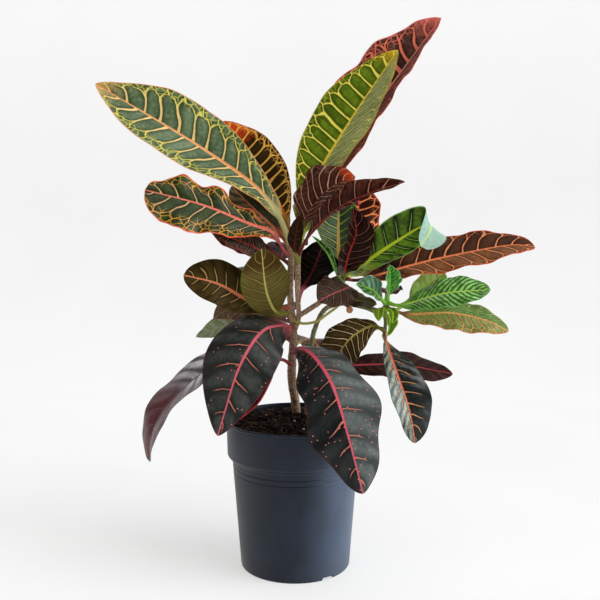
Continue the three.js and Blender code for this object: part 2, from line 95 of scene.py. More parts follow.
# The leaves, each with its shape and its paint. BASE_LEAF holds what an entry doesn't name.
# spine: points of the midrib. stalk: length of the bare stalk. wide: full width.
# face: where the upper side looks at mid-leaf. fold: how far each half is raised, in degrees.
# wave: height of the edge's waves, waves: how many. belly: over 1 moves the widest place towards
# the tip. full: under 1 fills out base and tip. skew: how much wider one half is than the other.
# lobe: how deep the outline itself is waved. puff: how far the blade swells between its veins.
# stout: thickness of the stalk.
# colours: at the side veins, between them (lightened as a painted sheen), side veins, midrib, margin, lower
# side, stalk.
# tip, foot: tints of the two ends, from tip_from on and up to foot_to. half: tint of one half,
# +1 or -1 by half_sign, or of both with 0, mixed in by half_mix, of which half_even is even and the
# rest lies between the veins; on leaves 3, 4, 19 and 23 it is a painted sheen. half_vein, half_edge: veins and
# margin of that half.
# count: side veins a side. line, ribline, edgeline: widths in millimetres. reach: how far out the
# side veins run. rise, rise_plus: how far they lean to the tip, and on the + half. fork: how far
# they turn aside near the margin, from arch on. halo: glow beside them. net: fine net at the margin,
# from net_from on, with meshes of net_size, and netcol its colour. spots: share of bright flecks.
# rough, gloss: of the upper side. undervein: midrib below. stem_to: where the stalk's tint ends.
COLOUR_NAMES = ("cell", "cell2", "vein", "rib", "edge", "under", "stem")

BASE_LEAF = dict(
    fold=10, wave=2, waves=3, belly=1.2, full=0.8, skew=0, lobe=0, tip=None, tip_from=0.8, foot=None,
    foot_to=0.3, half=None, half_sign=1, half_mix=0.5, half_even=0.3, half_vein=None, half_edge=None, count=11,
    line=0.5, ribline=3.2, edgeline=1.2, reach=1, rise=0.58, rise_plus=None, fork=1, arch=0.5, halo=0.08, net=0,
    net_size=7, net_from=0.6, net_half=False, netcol=None, spots=0, spot="e0806c", puff=0.4, rough=0.3,
    gloss=0.06, undervein=None, stem_to=0.14, stout=1,
)
LEAVES = [
    # The five that top the plant
    dict(name="leaf_01", stalk=30, wide=94, face=[0.3, -0.87, 0.39], fold=18, wave=2.4, belly=1.3, full=0.82,
         skew=0.04,
         spine=[[-5, 0, 402], [-22, 8, 440], [-46, 17, 470], [-120, 42, 523], [-255, 66, 604]],
         colours="30481f 7a8c68 ffd488 fca868 e8965c 7c8468 c4c080", tip="d8a85c", tip_from=0.93, count=13,
         line=2.8, ribline=4.4, edgeline=1.5, rise=0.56, arch=0.52, halo=0.22, net=0.6, net_size=10,
         net_from=0.74, netcol="e4da60", puff=0.5, gloss=0.22, stem_to=0.24, stout=1.7, seed=3),
    dict(name="leaf_02", stalk=26, wide=70, face=[0.2, -0.9, 0.2], fold=12, full=0.72,
         spine=[[-3, 0, 409], [-13, 22, 437], [-44, 50, 492], [-95, 76, 558]],
         colours="241602 3c2c08 fcbc50 f57a14 9c2e12 6a4a20 a8742c", tip="d8481a", tip_from=0.78, count=13,
         line=2.3, ribline=4.2, rise=0.3, arch=0.55, halo=0.14, net=0.6, net_size=8, net_from=0.7, puff=0.6,
         gloss=0.08, seed=5),
    # Its pale mauve half is a painted sheen
    dict(name="leaf_03", stalk=40, wide=104, face=[-0.62, -0.72, 0.35], fold=34, wave=3, waves=5, belly=1.16,
         full=0.66, skew=-0.24, lobe=0.04,
         spine=[[-1, 0, 407], [17, 24, 440], [52, 46, 487], [112, 86, 586], [191, 106, 694]],
         colours="2c100a 70483f ff8468 fcac94 fc8c84 8c4a44 c86a58", tip="f87c70", tip_from=0.93, half="94787e",
         half_mix=0.6, half_even=0.1, count=17, line=3.2, ribline=4.6, edgeline=2, rise=0.5, arch=0.6, halo=0.4,
         net=0.5, net_size=10, puff=0.7, gloss=0.08, seed=8),
    # Its paler half is a painted sheen
    dict(name="leaf_04", stalk=40, wide=88, face=[-0.43, -0.87, 0.26], fold=28, belly=1.04, full=0.76,
         skew=-0.07,
         spine=[[6, -8, 404], [11, 2, 435], [22, 14, 474], [71, 34, 558], [128, 44, 642]],
         colours="2e4404 78901c fcec60 f8dc48 c8a42c 6f8448 b3b44c", tip="e0a822", tip_from=0.93, half="c8c890",
         half_mix=0.75, half_vein="ece484", count=15, line=2, ribline=4, rise=0.24, rise_plus=1.1, arch=0.56,
         halo=0.25, net=0.25, net_size=10, net_from=0.8, puff=0.6, gloss=0.1, seed=11),
    dict(name="leaf_05", stalk=24, wide=66, face=[-0.62, -0.65, 0.45], fold=22, wave=4, full=0.66, skew=-0.15,
         spine=[[5, -8, 398], [10, -14, 424], [22, -17, 449], [42, -19, 470], [72, -17, 484]],
         colours="200803 56291c d09c7c 6a2c1e 6a2014 6a3a2c 8a8c3c", tip="c84018", tip_from=0.86, count=10,
         line=0.7, ribline=2.2, fork=0.3, arch=0.7, net=0.15, puff=0.8, rough=0.2, gloss=0.1, seed=13),
    dict(name="leaf_06", stalk=22, wide=42, face=[-0.3, -0.7, 0.7], fold=38, belly=1.25, full=0.85,
         spine=[[4, -8, 390], [17, -34, 414], [50, -62, 446], [84, -74, 463], [125, -72, 476]],
         colours="1c0804 5a2a1c d48870 a83a34 4a140c 5c2e26 7a3a30", count=9, line=0.7, ribline=2.8, fork=0.4,
         arch=0.7, net=0.1, puff=0.8, rough=0.2, gloss=0.1, seed=17),
    dict(name="leaf_33", stalk=12, wide=20, face=[-0.2, -0.95, 0.2], fold=20, wave=1.5, waves=2,
         spine=[[4, -8, 381], [0, -24, 400], [2, -34, 418], [6, -36, 438]],
         colours="180c05 2e1e10 4a3a20 5a1e16 30120c 30120c 8a8c3c", count=6, fork=0, gloss=0.05, seed=19),
    # The group over the right branch
    dict(name="leaf_07", stalk=16, wide=56, face=[-0.2, -0.95, 0.1], fold=14, belly=1.3,
         spine=[[59, -8, 369], [54, -15, 383], [52, -22, 414], [53, -18, 466]],
         colours="2f4a2a 8cac84 dcdc8c f0c860 86b04c 5a7a54 9ab04c", half="12140a", half_mix=0.98,
         half_vein="8fae3a", count=9, line=1.3, ribline=4, fork=0.3, halo=0, gloss=0.1, seed=23),
    dict(name="leaf_08", stalk=22, wide=62, face=[0.5, -0.8, 0.1], fold=16, wave=3, full=0.6,
         spine=[[60, -8, 372], [68, 8, 394], [78, 20, 430], [78, 24, 480]],
         colours="200803 341008 f0844c c43a30 d84a24 6a2c22 8a4030", line=1.6, ribline=3, edgeline=2, rise=0.35,
         net=0.2, gloss=0.05, seed=29),
    dict(name="leaf_09", stalk=14, wide=50, face=[0.55, -0.8, 0.2], fold=32, belly=0.95, full=0.66,
         spine=[[58, -9, 360], [59, -30, 374], [64, -44, 396], [71, -52, 418], [67, -54, 446]],
         colours="0a0301 2c160c 7a5044 bc3432 3a120e 5a2a26 7a7434", count=9, ribline=2.6, fork=0.15, halo=0,
         puff=0.7, rough=0.22, gloss=0.04, seed=31),
    dict(name="leaf_10", stalk=26, wide=56, face=[0.1, -0.86, -0.42], fold=-12, wave=1.2, belly=0.95, full=0.42,
         skew=0.02,
         spine=[[59, -9, 365], [76, -20, 375], [96, -32, 391], [124, -46, 411], [146, -57, 425],
         [155, -66, 427], [152, -77, 419], [141, -88, 404]],
         colours="101e00 689020 a0c060 bcc814 8cc060 9cb8b0 a8bc4c", count=8, line=0.6, ribline=4.2, reach=0.72,
         fork=0, halo=0, puff=0.6, rough=0.22, gloss=0.1, undervein="c0d860", seed=37),
    dict(name="leaf_36", stalk=12, wide=14, face=[0.5, -0.5, 0.7], fold=30, wave=0.5, waves=2,
         spine=[[57, -9, 356], [49, -25, 371], [38, -33, 394], [20, -34, 414]],
         colours="060e01 2c4810 90a860 8cd058 7ccb50 6a9a50 8ab850", count=6, gloss=0.08, seed=41),
    dict(name="leaf_21", stalk=12, wide=52, face=[0.2, -0.6, 0.77], fold=12, wave=3, waves=4,
         spine=[[53, -9, 351], [66, -22, 352], [58, -34, 350], [43, -44, 345], [27, -52, 337]],
         colours="3a2a20 5a4636 8c6a5c c4605e 4a2a24 6a5448 a06a5c", count=7, line=0.6, ribline=2.8, fork=0,
         halo=0, gloss=0.08, seed=43),
    # The group at the end of the side stem
    dict(name="leaf_11", stalk=30, wide=64, face=[0.1, -0.6, 0.8], fold=15, wave=2.6, waves=4, belly=1.15,
         full=0.6,
         spine=[[59, -8, 362], [74, 4, 358], [98, 12, 362], [140, 16, 374], [196, 24, 387], [280, 40, 400],
         [306, 44, 397]],
         colours="2a1004 56301a f49460 f08454 dc5428 9a6048 3a160e", foot="160804", foot_to=0.22, half="a4683e",
         half_mix=0.75, line=1.5, ribline=3.4, edgeline=1.4, rise=0.75, rise_plus=0.5, fork=0.6, arch=0.6,
         halo=0.14, net=0.15, net_size=9, net_from=0.75, puff=0.6, seed=47),
    dict(name="leaf_12", stalk=18, wide=51, face=[0.2, -0.66, 0.75], fold=8, wave=1.4, waves=4, belly=1.3,
         full=0.62,
         spine=[[112, -11, 332], [126, -24, 330], [175, -50, 347], [226, -66, 353]],
         colours="103c08 a8f074 347422 c8ee58 6cae40 5c9050 8cc23c", count=17, ribline=2.8, rise=0.75, fork=0.1,
         halo=0, puff=0.9, rough=0.2, gloss=0.5, seed=53),
    dict(name="leaf_13", stalk=20, wide=47, face=[0.1, -0.7, 0.7], fold=6, waves=4, belly=1.15, full=0.66,
         skew=0.14,
         spine=[[110, -11, 326], [134, -18, 319], [190, -28, 321], [232, -38, 312], [254, -42, 301]],
         colours="44622a 94b464 c4c87c f89c60 9c9c50 7a7c4c 8a5c40", half="b0905a", half_mix=0.6,
         half_vein="f8a468", half_edge="f07a44", line=0.8, ribline=2.8, edgeline=1.3, rise=1.2, rise_plus=0.6,
         net=0.7, net_size=10, net_from=0.5, net_half=True, gloss=0.08, seed=59),
    dict(name="leaf_14", stalk=52, wide=34, face=[0.2, -0.6, 0.75], full=0.6,
         spine=[[106, -8, 323], [126, 8, 321], [154, 28, 340], [192, 44, 364]],
         colours="90dc40 bcf488 b4e468 b8e458 d4dc88 b8cc60 8aa04c", half="ccf8b4", half_sign=-1, half_mix=0.6,
         count=7, line=1.6, net=0.3, net_size=5, net_from=0.3, gloss=0.08, undervein="d0dc80", seed=61),
    dict(name="leaf_15", stalk=10, wide=34, face=[0.4, -0.75, 0.5], fold=30, wave=1.5,
         spine=[[111, -11, 330], [103, -21, 338], [91, -34, 350], [72, -40, 357]],
         colours="1c3c04 88bc70 4c8c38 a8dc40 a0c8a0 8ab09c 8cc040", half="8cb4a4", half_mix=0.7, count=7,
         fork=0, halo=0, puff=0.6, rough=0.22, gloss=0.2, seed=67),
    dict(name="leaf_16", stalk=8, wide=30, face=[0.6, -0.78, 0], fold=34, wave=1.5, waves=4,
         spine=[[112, -12, 335], [113, -21, 347], [114, -24, 362], [114, -20, 379]],
         colours="164c06 80cc54 3c8c28 a8e060 8cc88c 7cac78 8cc84c", count=10, ribline=2, fork=0, halo=0,
         puff=0.9, rough=0.22, gloss=0.2, seed=71),
    dict(name="leaf_17", stalk=10, wide=54, face=[-0.1, -0.8, 0.6], wave=2.4, waves=4, belly=1.35, full=0.6,
         skew=0.04,
         spine=[[109, -13, 298], [104, -18, 301], [92, -22, 304], [68, -26, 291], [50, -24, 267],
         [38, -22, 248]],
         colours="2c1c08 5c4824 ecd4a4 b09a48 4a3214 5c4c30 8a7c3c", count=10, line=0.7, ribline=2.4, reach=0.9,
         fork=0.7, arch=0.7, halo=0, puff=0.6, seed=73),
    dict(name="leaf_18", stalk=4, wide=24, face=[0.75, -0.65, 0], fold=30, wave=1, waves=2, belly=0.75,
         spine=[[110, -12, 318], [113, -21, 314], [114, -22, 304], [112, -20, 292]],
         colours="2f5c06 548412 6c9820 a8c02c c6c630 84a84c a0b83c", count=5, line=0.4, edgeline=2, fork=0,
         gloss=0.08, seed=79),
    # Its pale patches on the left half are a painted sheen
    dict(name="leaf_19", stalk=12, wide=58, face=[0.55, -0.82, 0.15], fold=20, wave=1.4, belly=1.3, full=0.62,
         skew=-0.12,
         spine=[[109, -14, 292], [110, -30, 284], [120, -52, 253], [134, -62, 212], [142, -64, 171]],
         colours="0b0f09 1a221a d48c50 e0705a 33382a 4c5a48 b07a58", half="b8c4a8", half_mix=0.68, half_even=0,
         count=10, line=0.8, ribline=3, reach=0.55, fork=0.1, halo=0, puff=1, rough=0.2, gloss=0.4, seed=83),
    dict(name="leaf_20", stalk=60, wide=49, face=[0, -0.62, 0.78], fold=4, wave=2.4, belly=1.3, full=0.68,
         skew=0.06,
         spine=[[-2, 12, 262], [28, 32, 252], [64, 42, 245], [135, 56, 243], [207, 60, 230]],
         colours="1a0a0c 4c2c22 4a1a1c bc444c 3a1218 5c2a30 a04c4c", count=12, ribline=2.4, fork=0.1, halo=0,
         gloss=0.08, seed=89),
    dict(name="leaf_35", stalk=76, wide=42, face=[0, -0.3, 0.95], fold=6, waves=2,
         spine=[[-3, 5, 310], [8, -8, 306], [25, -15, 309], [45, -18, 323], [64, -16, 335], [99, -18, 331]],
         colours="140c06 5c5034 6a6430 8c8a3c 4a3a28 5c4c3a bcb468", count=8, line=0.9, fork=0.2, halo=0,
         gloss=0.05, stout=0.8, seed=97),
    dict(name="leaf_37", stalk=4, wide=14, face=[-0.3, -0.5, 0.8], fold=16, wave=0.5, waves=2,
         spine=[[103, -9, 322], [101, -26, 325], [100, -34, 312]],
         colours="6c7c1c 94a040 80b028 a8d038 b0d858 7ca038 98bc34", count=5, line=0.4, seed=101),
    dict(name="leaf_38", stalk=4, wide=15, face=[0.3, -0.5, 0.8], fold=16, wave=0.5, waves=2,
         spine=[[107, -13, 323], [112, -24, 326], [117, -31, 322], [116, -38, 310]],
         colours="3c5008 607418 6c9820 a0c830 a8c848 7ca038 98bc34", count=5, line=0.4, seed=103),
    # The large leaves that hang over the pot
    dict(name="leaf_22", stalk=12, wide=88, face=[-0.1, -0.9, 0.4], fold=-8, wave=1.8, waves=2, belly=0.9,
         full=0.75, skew=0.1,
         spine=[[-3, 8, 298], [-12, -10, 303], [-36, -34, 302], [-62, -66, 268], [-89, -84, 185]],
         colours="1d1f1b 454844 cc7460 e46074 5a2426 5a3034 c85c64", count=7, line=1, ribline=3.8, reach=0.5,
         rise=0.42, fork=0.25, halo=0, spots=0.14, puff=0.8, rough=0.26, gloss=0.24, seed=107),
    # Its pale bluish right half is a painted sheen
    dict(name="leaf_23", stalk=16, wide=86, face=[0.1, -0.92, 0.35], fold=-6, wave=1.8, belly=1.3, full=0.7,
         skew=-0.04, lobe=0.1,
         spine=[[-4, 12, 266], [2, -10, 275], [17, -40, 276], [42, -88, 248], [59, -108, 196], [77, -116, 127]],
         colours="0c0d0d 282b2a c47864 e05068 3a1a1a 4a2a2e b85058", half="7c8480", half_sign=-1, half_mix=0.62,
         count=9, line=1, ribline=4, reach=0.42, rise=0.42, fork=0.2, halo=0, spots=0.3, puff=0.9, rough=0.26,
         gloss=0.24, seed=109),
    dict(name="leaf_34", stalk=24, wide=44, face=[0.2, -0.9, 0.3],
         spine=[[-4, 13, 250], [-18, -2, 260], [-40, -26, 250], [-64, -46, 222], [-80, -56, 190]],
         colours="240b0a 4c1014 7a2024 9a2e34 de404a 6a2428 a04448", count=8, line=1, edgeline=2.2, seed=113),
    # Its near-white grey between the veins is a painted reflection
    dict(name="leaf_24", stalk=40, wide=76, face=[-0.5, -0.3, 0.8], fold=14, full=0.5,
         spine=[[-3, 10, 285], [-34, 8, 288], [-76, 2, 275], [-106, -4, 251], [-136, -14, 227],
         [-161, -24, 201], [-175, -28, 172], [-178, -28, 138]],
         colours="524648 f0ecf0 4c444c 3a2a30 302428 541a22 6a4a50", tip="5c1c24", tip_from=0.5, count=10,
         line=0.9, ribline=2.2, fork=0.1, halo=0, puff=0.8, rough=0.24, gloss=0.4, seed=127),
    # The smaller leaves left of the trunk
    dict(name="leaf_25", stalk=10, wide=60, face=[0.1, -0.98, 0.1], fold=8, wave=1.4, full=0.67,
         spine=[[-5, 4, 319], [-14, 4, 316], [-24, 1, 320], [-32, -9, 336], [-36, -15, 353], [-40, -25, 398]],
         colours="5a4e22 766632 9c944c ccc868 5c6420 6a6a38 8c8c3c", tip="4c3410", tip_from=0.7, count=8,
         ribline=2.6, edgeline=1.6, fork=0, halo=0, seed=131),
    dict(name="leaf_26", stalk=22, wide=56, face=[-0.2, -0.85, 0.5], fold=8, belly=1.35, full=0.55, skew=0.08,
         spine=[[-5, 3, 324], [-24, 6, 326], [-56, 0, 333], [-94, -12, 355], [-135, -16, 366]],
         colours="34280e 52431e c8a068 f08860 44340e 5a4a30 c0644c", count=9, line=0.8, ribline=4.6, reach=0.55,
         fork=0, halo=0, puff=0.6, seed=137),
    dict(name="leaf_27", stalk=30, wide=42, face=[-0.3, -0.6, 0.75], fold=12,
         spine=[[-3, 8, 306], [-30, 16, 309], [-56, 22, 315], [-84, 22, 319], [-103, 18, 308]],
         colours="5c4630 a88c74 a89078 b08a70 a87c6a 6a5a50 8a6a54", count=9, fork=0.1, halo=0, seed=139),
    dict(name="leaf_28", stalk=40, wide=32, face=[-0.3, -0.7, 0.65], fold=16, wave=1.4,
         spine=[[-3, 9, 291], [-40, 28, 297], [-80, 36, 299], [-127, 32, 283]],
         colours="8ca060 c4d0b4 c8ccac ccd498 5a7a30 8aa070 8c9c4c", count=8, fork=0.1, seed=149),
    # The left group under the crown
    dict(name="leaf_29", stalk=20, wide=76, face=[0.1, -0.8, 0.6], wave=5, waves=4, belly=2, full=0.5,
         skew=-0.2, lobe=0.06,
         spine=[[-5, 1, 386], [-14, -3, 396], [-28, -7, 417], [-54, -12, 427], [-107, -20, 449],
         [-178, -26, 468]],
         colours="1a2008 404e24 dcb070 ee6c60 e8623c 6a5c44 b85c58", count=9, line=1.3, ribline=4, edgeline=2.2,
         rise=0.7, arch=0.45, halo=0.12, net=0.75, net_size=10, net_from=0.62, netcol="e2a42c", puff=0.9,
         rough=0.24, gloss=0.18, seed=151),
    dict(name="leaf_30", stalk=26, wide=48, face=[0.3, -0.85, 0.4], wave=1.6, belly=1.3, full=0.6,
         spine=[[-4, 0, 396], [-24, 14, 420], [-52, 28, 446], [-80, 36, 474]],
         colours="54482e b09c78 5c5c40 ec8858 5a3424 4a4a34 b85c44", half="1a2c18", half_mix=0.9, half_even=0.8,
         count=8, line=0.4, ribline=2.8, fork=0.1, halo=0, gloss=0.1, seed=157),
    dict(name="leaf_31", stalk=24, wide=36, face=[-0.2, -0.8, 0.6], fold=14, wave=2.4,
         spine=[[-5, 1, 377], [-26, 10, 390], [-66, 16, 405], [-106, 12, 420]],
         colours="120a04 40342a a8604f a83e38 a04030 4a2a20 8a4a3c", halo=0, net=0.3, seed=163),
    dict(name="leaf_32", stalk=24, wide=34, face=[0.1, -0.8, 0.6], fold=14,
         spine=[[-5, 2, 364], [-24, -2, 379], [-47, -12, 398], [-94, -25, 417]],
         colours="1c120a 645448 b46a54 a03432 8a3028 54342c c4c454", count=7, halo=0, net=0.2, seed=167),
]
# The sixth colour of each, the lower side, is darkened as painted shade
BACK_PAINTS = [
    dict(colours="17140a 2e2c10 c88c2c dc7828 9c4420 241a0a a8904a", line=1.4, net=0.6, gloss=0.15),
    dict(colours="28480e 5c8030 acac30 bcac2c 9c9430 263416 a4b04c", line=1.4, net=0.4),
    dict(colours="120604 28100a a03c26 ac3834 5c1c12 160806 8a4c3c", line=1.4, net=0.3, gloss=0.04),
    dict(colours="121a0a 283618 ac7c30 d06a3c 54441c 1a200e a0744c", line=1.4, net=0.2, gloss=0.15),
    dict(colours="040504 12150f 4c2622 6a2c32 2c1416 140c0c b05c60", line=0.8, reach=0.6, halo=0, gloss=0.03),
]
# The leaves at the back, which fill the plant all round: foot, middle and tip of the midrib, and width
BACK_LEAVES = [
    ([-4, 0, 390], [-34, 84, 432], [-76, 176, 428], 62),
    ([5, -8, 396], [26, 92, 448], [58, 190, 440], 66),
    ([-5, 1, 380], [-10, 90, 400], [-24, 178, 372], 60),
    ([-5, 2, 356], [-52, 70, 372], [-92, 132, 346], 46),
    ([3, -4, 330], [22, 60, 364], [40, 116, 404], 64),
    ([59, -7, 366], [84, 60, 396], [122, 128, 398], 52),
    ([57, -9, 356], [88, 66, 362], [106, 124, 388], 54),
    ([112, -11, 335], [116, 46, 344], [126, 106, 330], 44),
    ([-3, 7, 301], [-24, 86, 316], [-40, 160, 274], 62),
    ([-3, 10, 280], [-50, 70, 282], [-92, 118, 248], 52),
    ([-4, 11, 272], [24, 78, 272], [44, 146, 222], 58),
]


# Small tools


def smooth(value):
    value = np.clip(value, 0, 1)
    return value * value * (3 - 2 * value)


def linear(colour):
    """An sRGB hex colour as linear RGBA."""
    out = []
    for i in (0, 2, 4):
        c = int(colour[i:i + 2], 16) / 255
        out.append(c / 12.92 if c <= 0.04045 else ((c + 0.055) / 1.055) ** 2.4)
    return (*out, 1)


def polyline(points, per_span=60):
    """A centripetal curve through the points, as a fine polyline with its running length."""
    p = [np.array(point, float) for point in points]
    p = [2 * p[0] - p[1]] + p + [2 * p[-1] - p[-2]]
    fine = []
    for i in range(1, len(p) - 2):
        d0, d1, d2 = (max(math.sqrt(np.linalg.norm(p[i + k] - p[i + k - 1])), 1e-4) for k in (0, 1, 2))
        m1 = ((p[i] - p[i - 1]) / d0 - (p[i + 1] - p[i - 1]) / (d0 + d1) + (p[i + 1] - p[i]) / d1) * d1
        m2 = ((p[i + 1] - p[i]) / d1 - (p[i + 2] - p[i]) / (d1 + d2) + (p[i + 2] - p[i + 1]) / d2) * d1
        t = np.linspace(0, 1, per_span, endpoint=False)[:, None]
        fine.append(p[i] * (2 * t**3 - 3 * t**2 + 1) + m1 * (t**3 - 2 * t**2 + t)
                    + p[i + 1] * (3 * t**2 - 2 * t**3) + m2 * (t**3 - t**2))
    fine = np.vstack(fine + [p[-2][None]])
    length = np.concatenate([[0], np.cumsum(np.linalg.norm(np.diff(fine, axis=0), axis=1))])
    return fine, length


def along(fine, length, stations):
    """Points and unit tangents at the given distances along a polyline."""
    def at(distances):
        return np.stack([np.interp(distances, length, fine[:, k]) for k in range(3)], 1)

    step = 0.6
    tangent = at(stations + step) - at(stations - step)
    return at(stations), tangent / np.linalg.norm(tangent, axis=1)[:, None]


def carried(tangent, start, first):
    """The direction first, squared to the tangent at station start and carried both ways."""
    out = np.zeros_like(tangent)
    level = np.array(first, float) - tangent[start] * tangent[start].dot(first)
    out[start] = level / np.linalg.norm(level)

    def turn(vector, a, b):
        """The vector after the shortest turn that brings tangent a to tangent b."""
        return vector - (a + b) * (vector.dot(a + b) / (1 + a.dot(b))) + 2 * b * vector.dot(a)

    for i in range(start + 1, len(tangent)):
        out[i] = turn(out[i - 1], tangent[i - 1], tangent[i])
    for i in range(start - 1, -1, -1):
        out[i] = turn(out[i + 1], tangent[i + 1], tangent[i])
    return out


def circle(sides):
    """Angles all round, in equal steps."""
    return np.linspace(0, 2 * np.pi, sides, endpoint=False)


def spokes(side, other, angle):
    """Directions all round at each station, from side towards other."""
    return side[:, None] * np.cos(angle)[None, :, None] + other[:, None] * np.sin(angle)[None, :, None]


def grid_faces(rows, columns, offset=0, flip=False, around=False):
    """Quads of a grid of points. around closes each row into a ring."""
    last = columns if around else columns - 1
    j, k = np.meshgrid(np.arange(rows - 1), np.arange(last), indexing="ij")
    k2 = (k + 1) % columns
    quads = np.stack([j * columns + k, j * columns + k2, (j + 1) * columns + k2, (j + 1) * columns + k], -1)
    quads = quads.reshape(-1, 4) + offset
    return quads[:, ::-1] if flip else quads


def strip(a, b):
    """Quads between two rows of point numbers."""
    a, b = np.asarray(a), np.asarray(b)
    return np.stack([a[:-1], a[1:], b[1:], b[:-1]], 1)


def new_piece(name, points, faces, material, marks=None, uv=None, sharp=50):
    """A mesh object in the row frame from millimetre points. marks are numbers kept at each point."""
    mesh = bpy.data.meshes.new(name)
    mesh.from_pydata((np.asarray(points) * MM).tolist(), [], [list(map(int, face)) for face in faces])
    for key, values in (marks or {}).items():
        layer = mesh.attributes.new(key, "FLOAT", "POINT")
        layer.data.foreach_set("value", np.asarray(values, np.float32))
    if uv is not None:
        layer = mesh.uv_layers.new(name="OFBake")
        corners = np.zeros(len(mesh.loops), np.int32)
        mesh.loops.foreach_get("vertex_index", corners)
        layer.data.foreach_set("uv", np.asarray(uv, np.float32)[corners].ravel())
    mesh.polygons.foreach_set("use_smooth", np.ones(len(mesh.polygons), bool))
    mesh.set_sharp_from_angle(angle=math.radians(sharp))
    mesh.materials.append(material)
    piece = bpy.data.objects.new(name, mesh)
    bpy.context.scene.collection.objects.link(piece)
    return piece


# Materials: values that can be reckoned with, and a graph with a short call for each node


def joined(operation, swapped=False):
    """A sign between two values, as a math node."""
    def method(self, other):
        return self.graph.math(operation, *((other, self) if swapped else (self, other)))
    return method


class Wire:
    """One output of a shader's graph."""

    def __init__(self, graph, socket):
        self.graph, self.socket = graph, socket

    __add__ = joined("ADD")
    __mul__ = joined("MULTIPLY")
    __sub__ = joined("SUBTRACT")
    __rsub__ = joined("SUBTRACT", swapped=True)
    __truediv__ = joined("DIVIDE")
    __gt__ = joined("GREATER_THAN")
    __lt__ = joined("LESS_THAN")

    def __abs__(self):
        return self.graph.math("ABSOLUTE", self)


class Graph:
    """The shader nodes of one material."""

    def __init__(self, name):
        self.material = bpy.data.materials.new(name)
        self.material.use_nodes = True
        self.tree = self.material.node_tree
        self.shader = self.tree.nodes["Principled BSDF"]

    def put(self, socket, value):
        if isinstance(value, Wire):
            self.tree.links.new(value.socket, socket)
        else:
            socket.default_value = linear(value) if isinstance(value, str) else value

    def out(self, output, kind, inputs=None, **settings):
        """One output of a new node."""
        node = self.tree.nodes.new("ShaderNode" + kind)
        for key, value in settings.items():
            setattr(node, key, value)
        for key, value in (inputs or {}).items():
            self.put(node.inputs[key], value)
        return Wire(self, node.outputs[output])

    def mark(self, name):
        return self.out("Fac", "Attribute", attribute_name=name)

    def coords(self):
        return self.out("Object", "TexCoord")

    def axis(self, vector, number):
        return self.out(number, "SeparateXYZ", {0: vector})

    def vector(self, x, y, z=0.0):
        return self.out(0, "CombineXYZ", {0: x, 1: y, 2: z})

    def math(self, operation, *values):
        return self.out(0, "Math", dict(enumerate(values)), operation=operation)

    def ramp(self, value, low, high, out_low=0.0, out_high=1.0, **settings):
        """In a straight line from out_low at low to out_high at high."""
        return self.out(0, "MapRange", {0: value, 1: low, 2: high, 3: out_low, 4: out_high}, **settings)

    def step(self, *values):
        """Smoothly from out_low at low to out_high at high."""
        return self.ramp(*values, interpolation_type="SMOOTHSTEP")

    def mix(self, share, a, b):
        return self.out(2, "Mix", {0: share, 6: a, 7: b}, data_type="RGBA")

    def noise(self, vector, scale, detail=3.0, rough=0.55):
        return self.out("Fac", "TexNoise", {"Vector": vector, "Scale": scale, "Detail": detail,
                                            "Roughness": rough})

    def cells(self, vector, scale, feature, output="Distance", flat=False):
        return self.out(output, "TexVoronoi", {"Vector": vector, "Scale": scale, "Randomness": 0.85},
                        feature=feature, voronoi_dimensions="2D" if flat else "3D")

    def bump(self, height, distance, strength=1.0):
        self.put(self.shader.inputs["Normal"],
                 self.out(0, "Bump", {"Height": height, "Distance": distance, "Strength": strength}))

    def finish(self, colour, roughness, **others):
        for key, value in {"Base_Color": colour, "Roughness": roughness, **others}.items():
            self.put(self.shader.inputs[key.replace("_", " ")], value)
        return self.material


# Leaf paint

# Side veins turn aside over this share of the half width, along a quarter circle cut short
ARCH_DEPTH = 0.32
ARCH_END = 0.97
ARCH_REST = 1 - math.sqrt(1 - ARCH_END**2)
# Widths in millimetres: a vein's soft border, the midrib's, and how far a vein's halo reaches
VEIN_BLUR = 0.34
RIB_BLUR = 0.5
HALO_WIDTH = 2.2
# How far apart the patterns of two leaves lie, for each step of seed
SEED_SHIFT = 31.7
FLECK_SCALE = 0.15


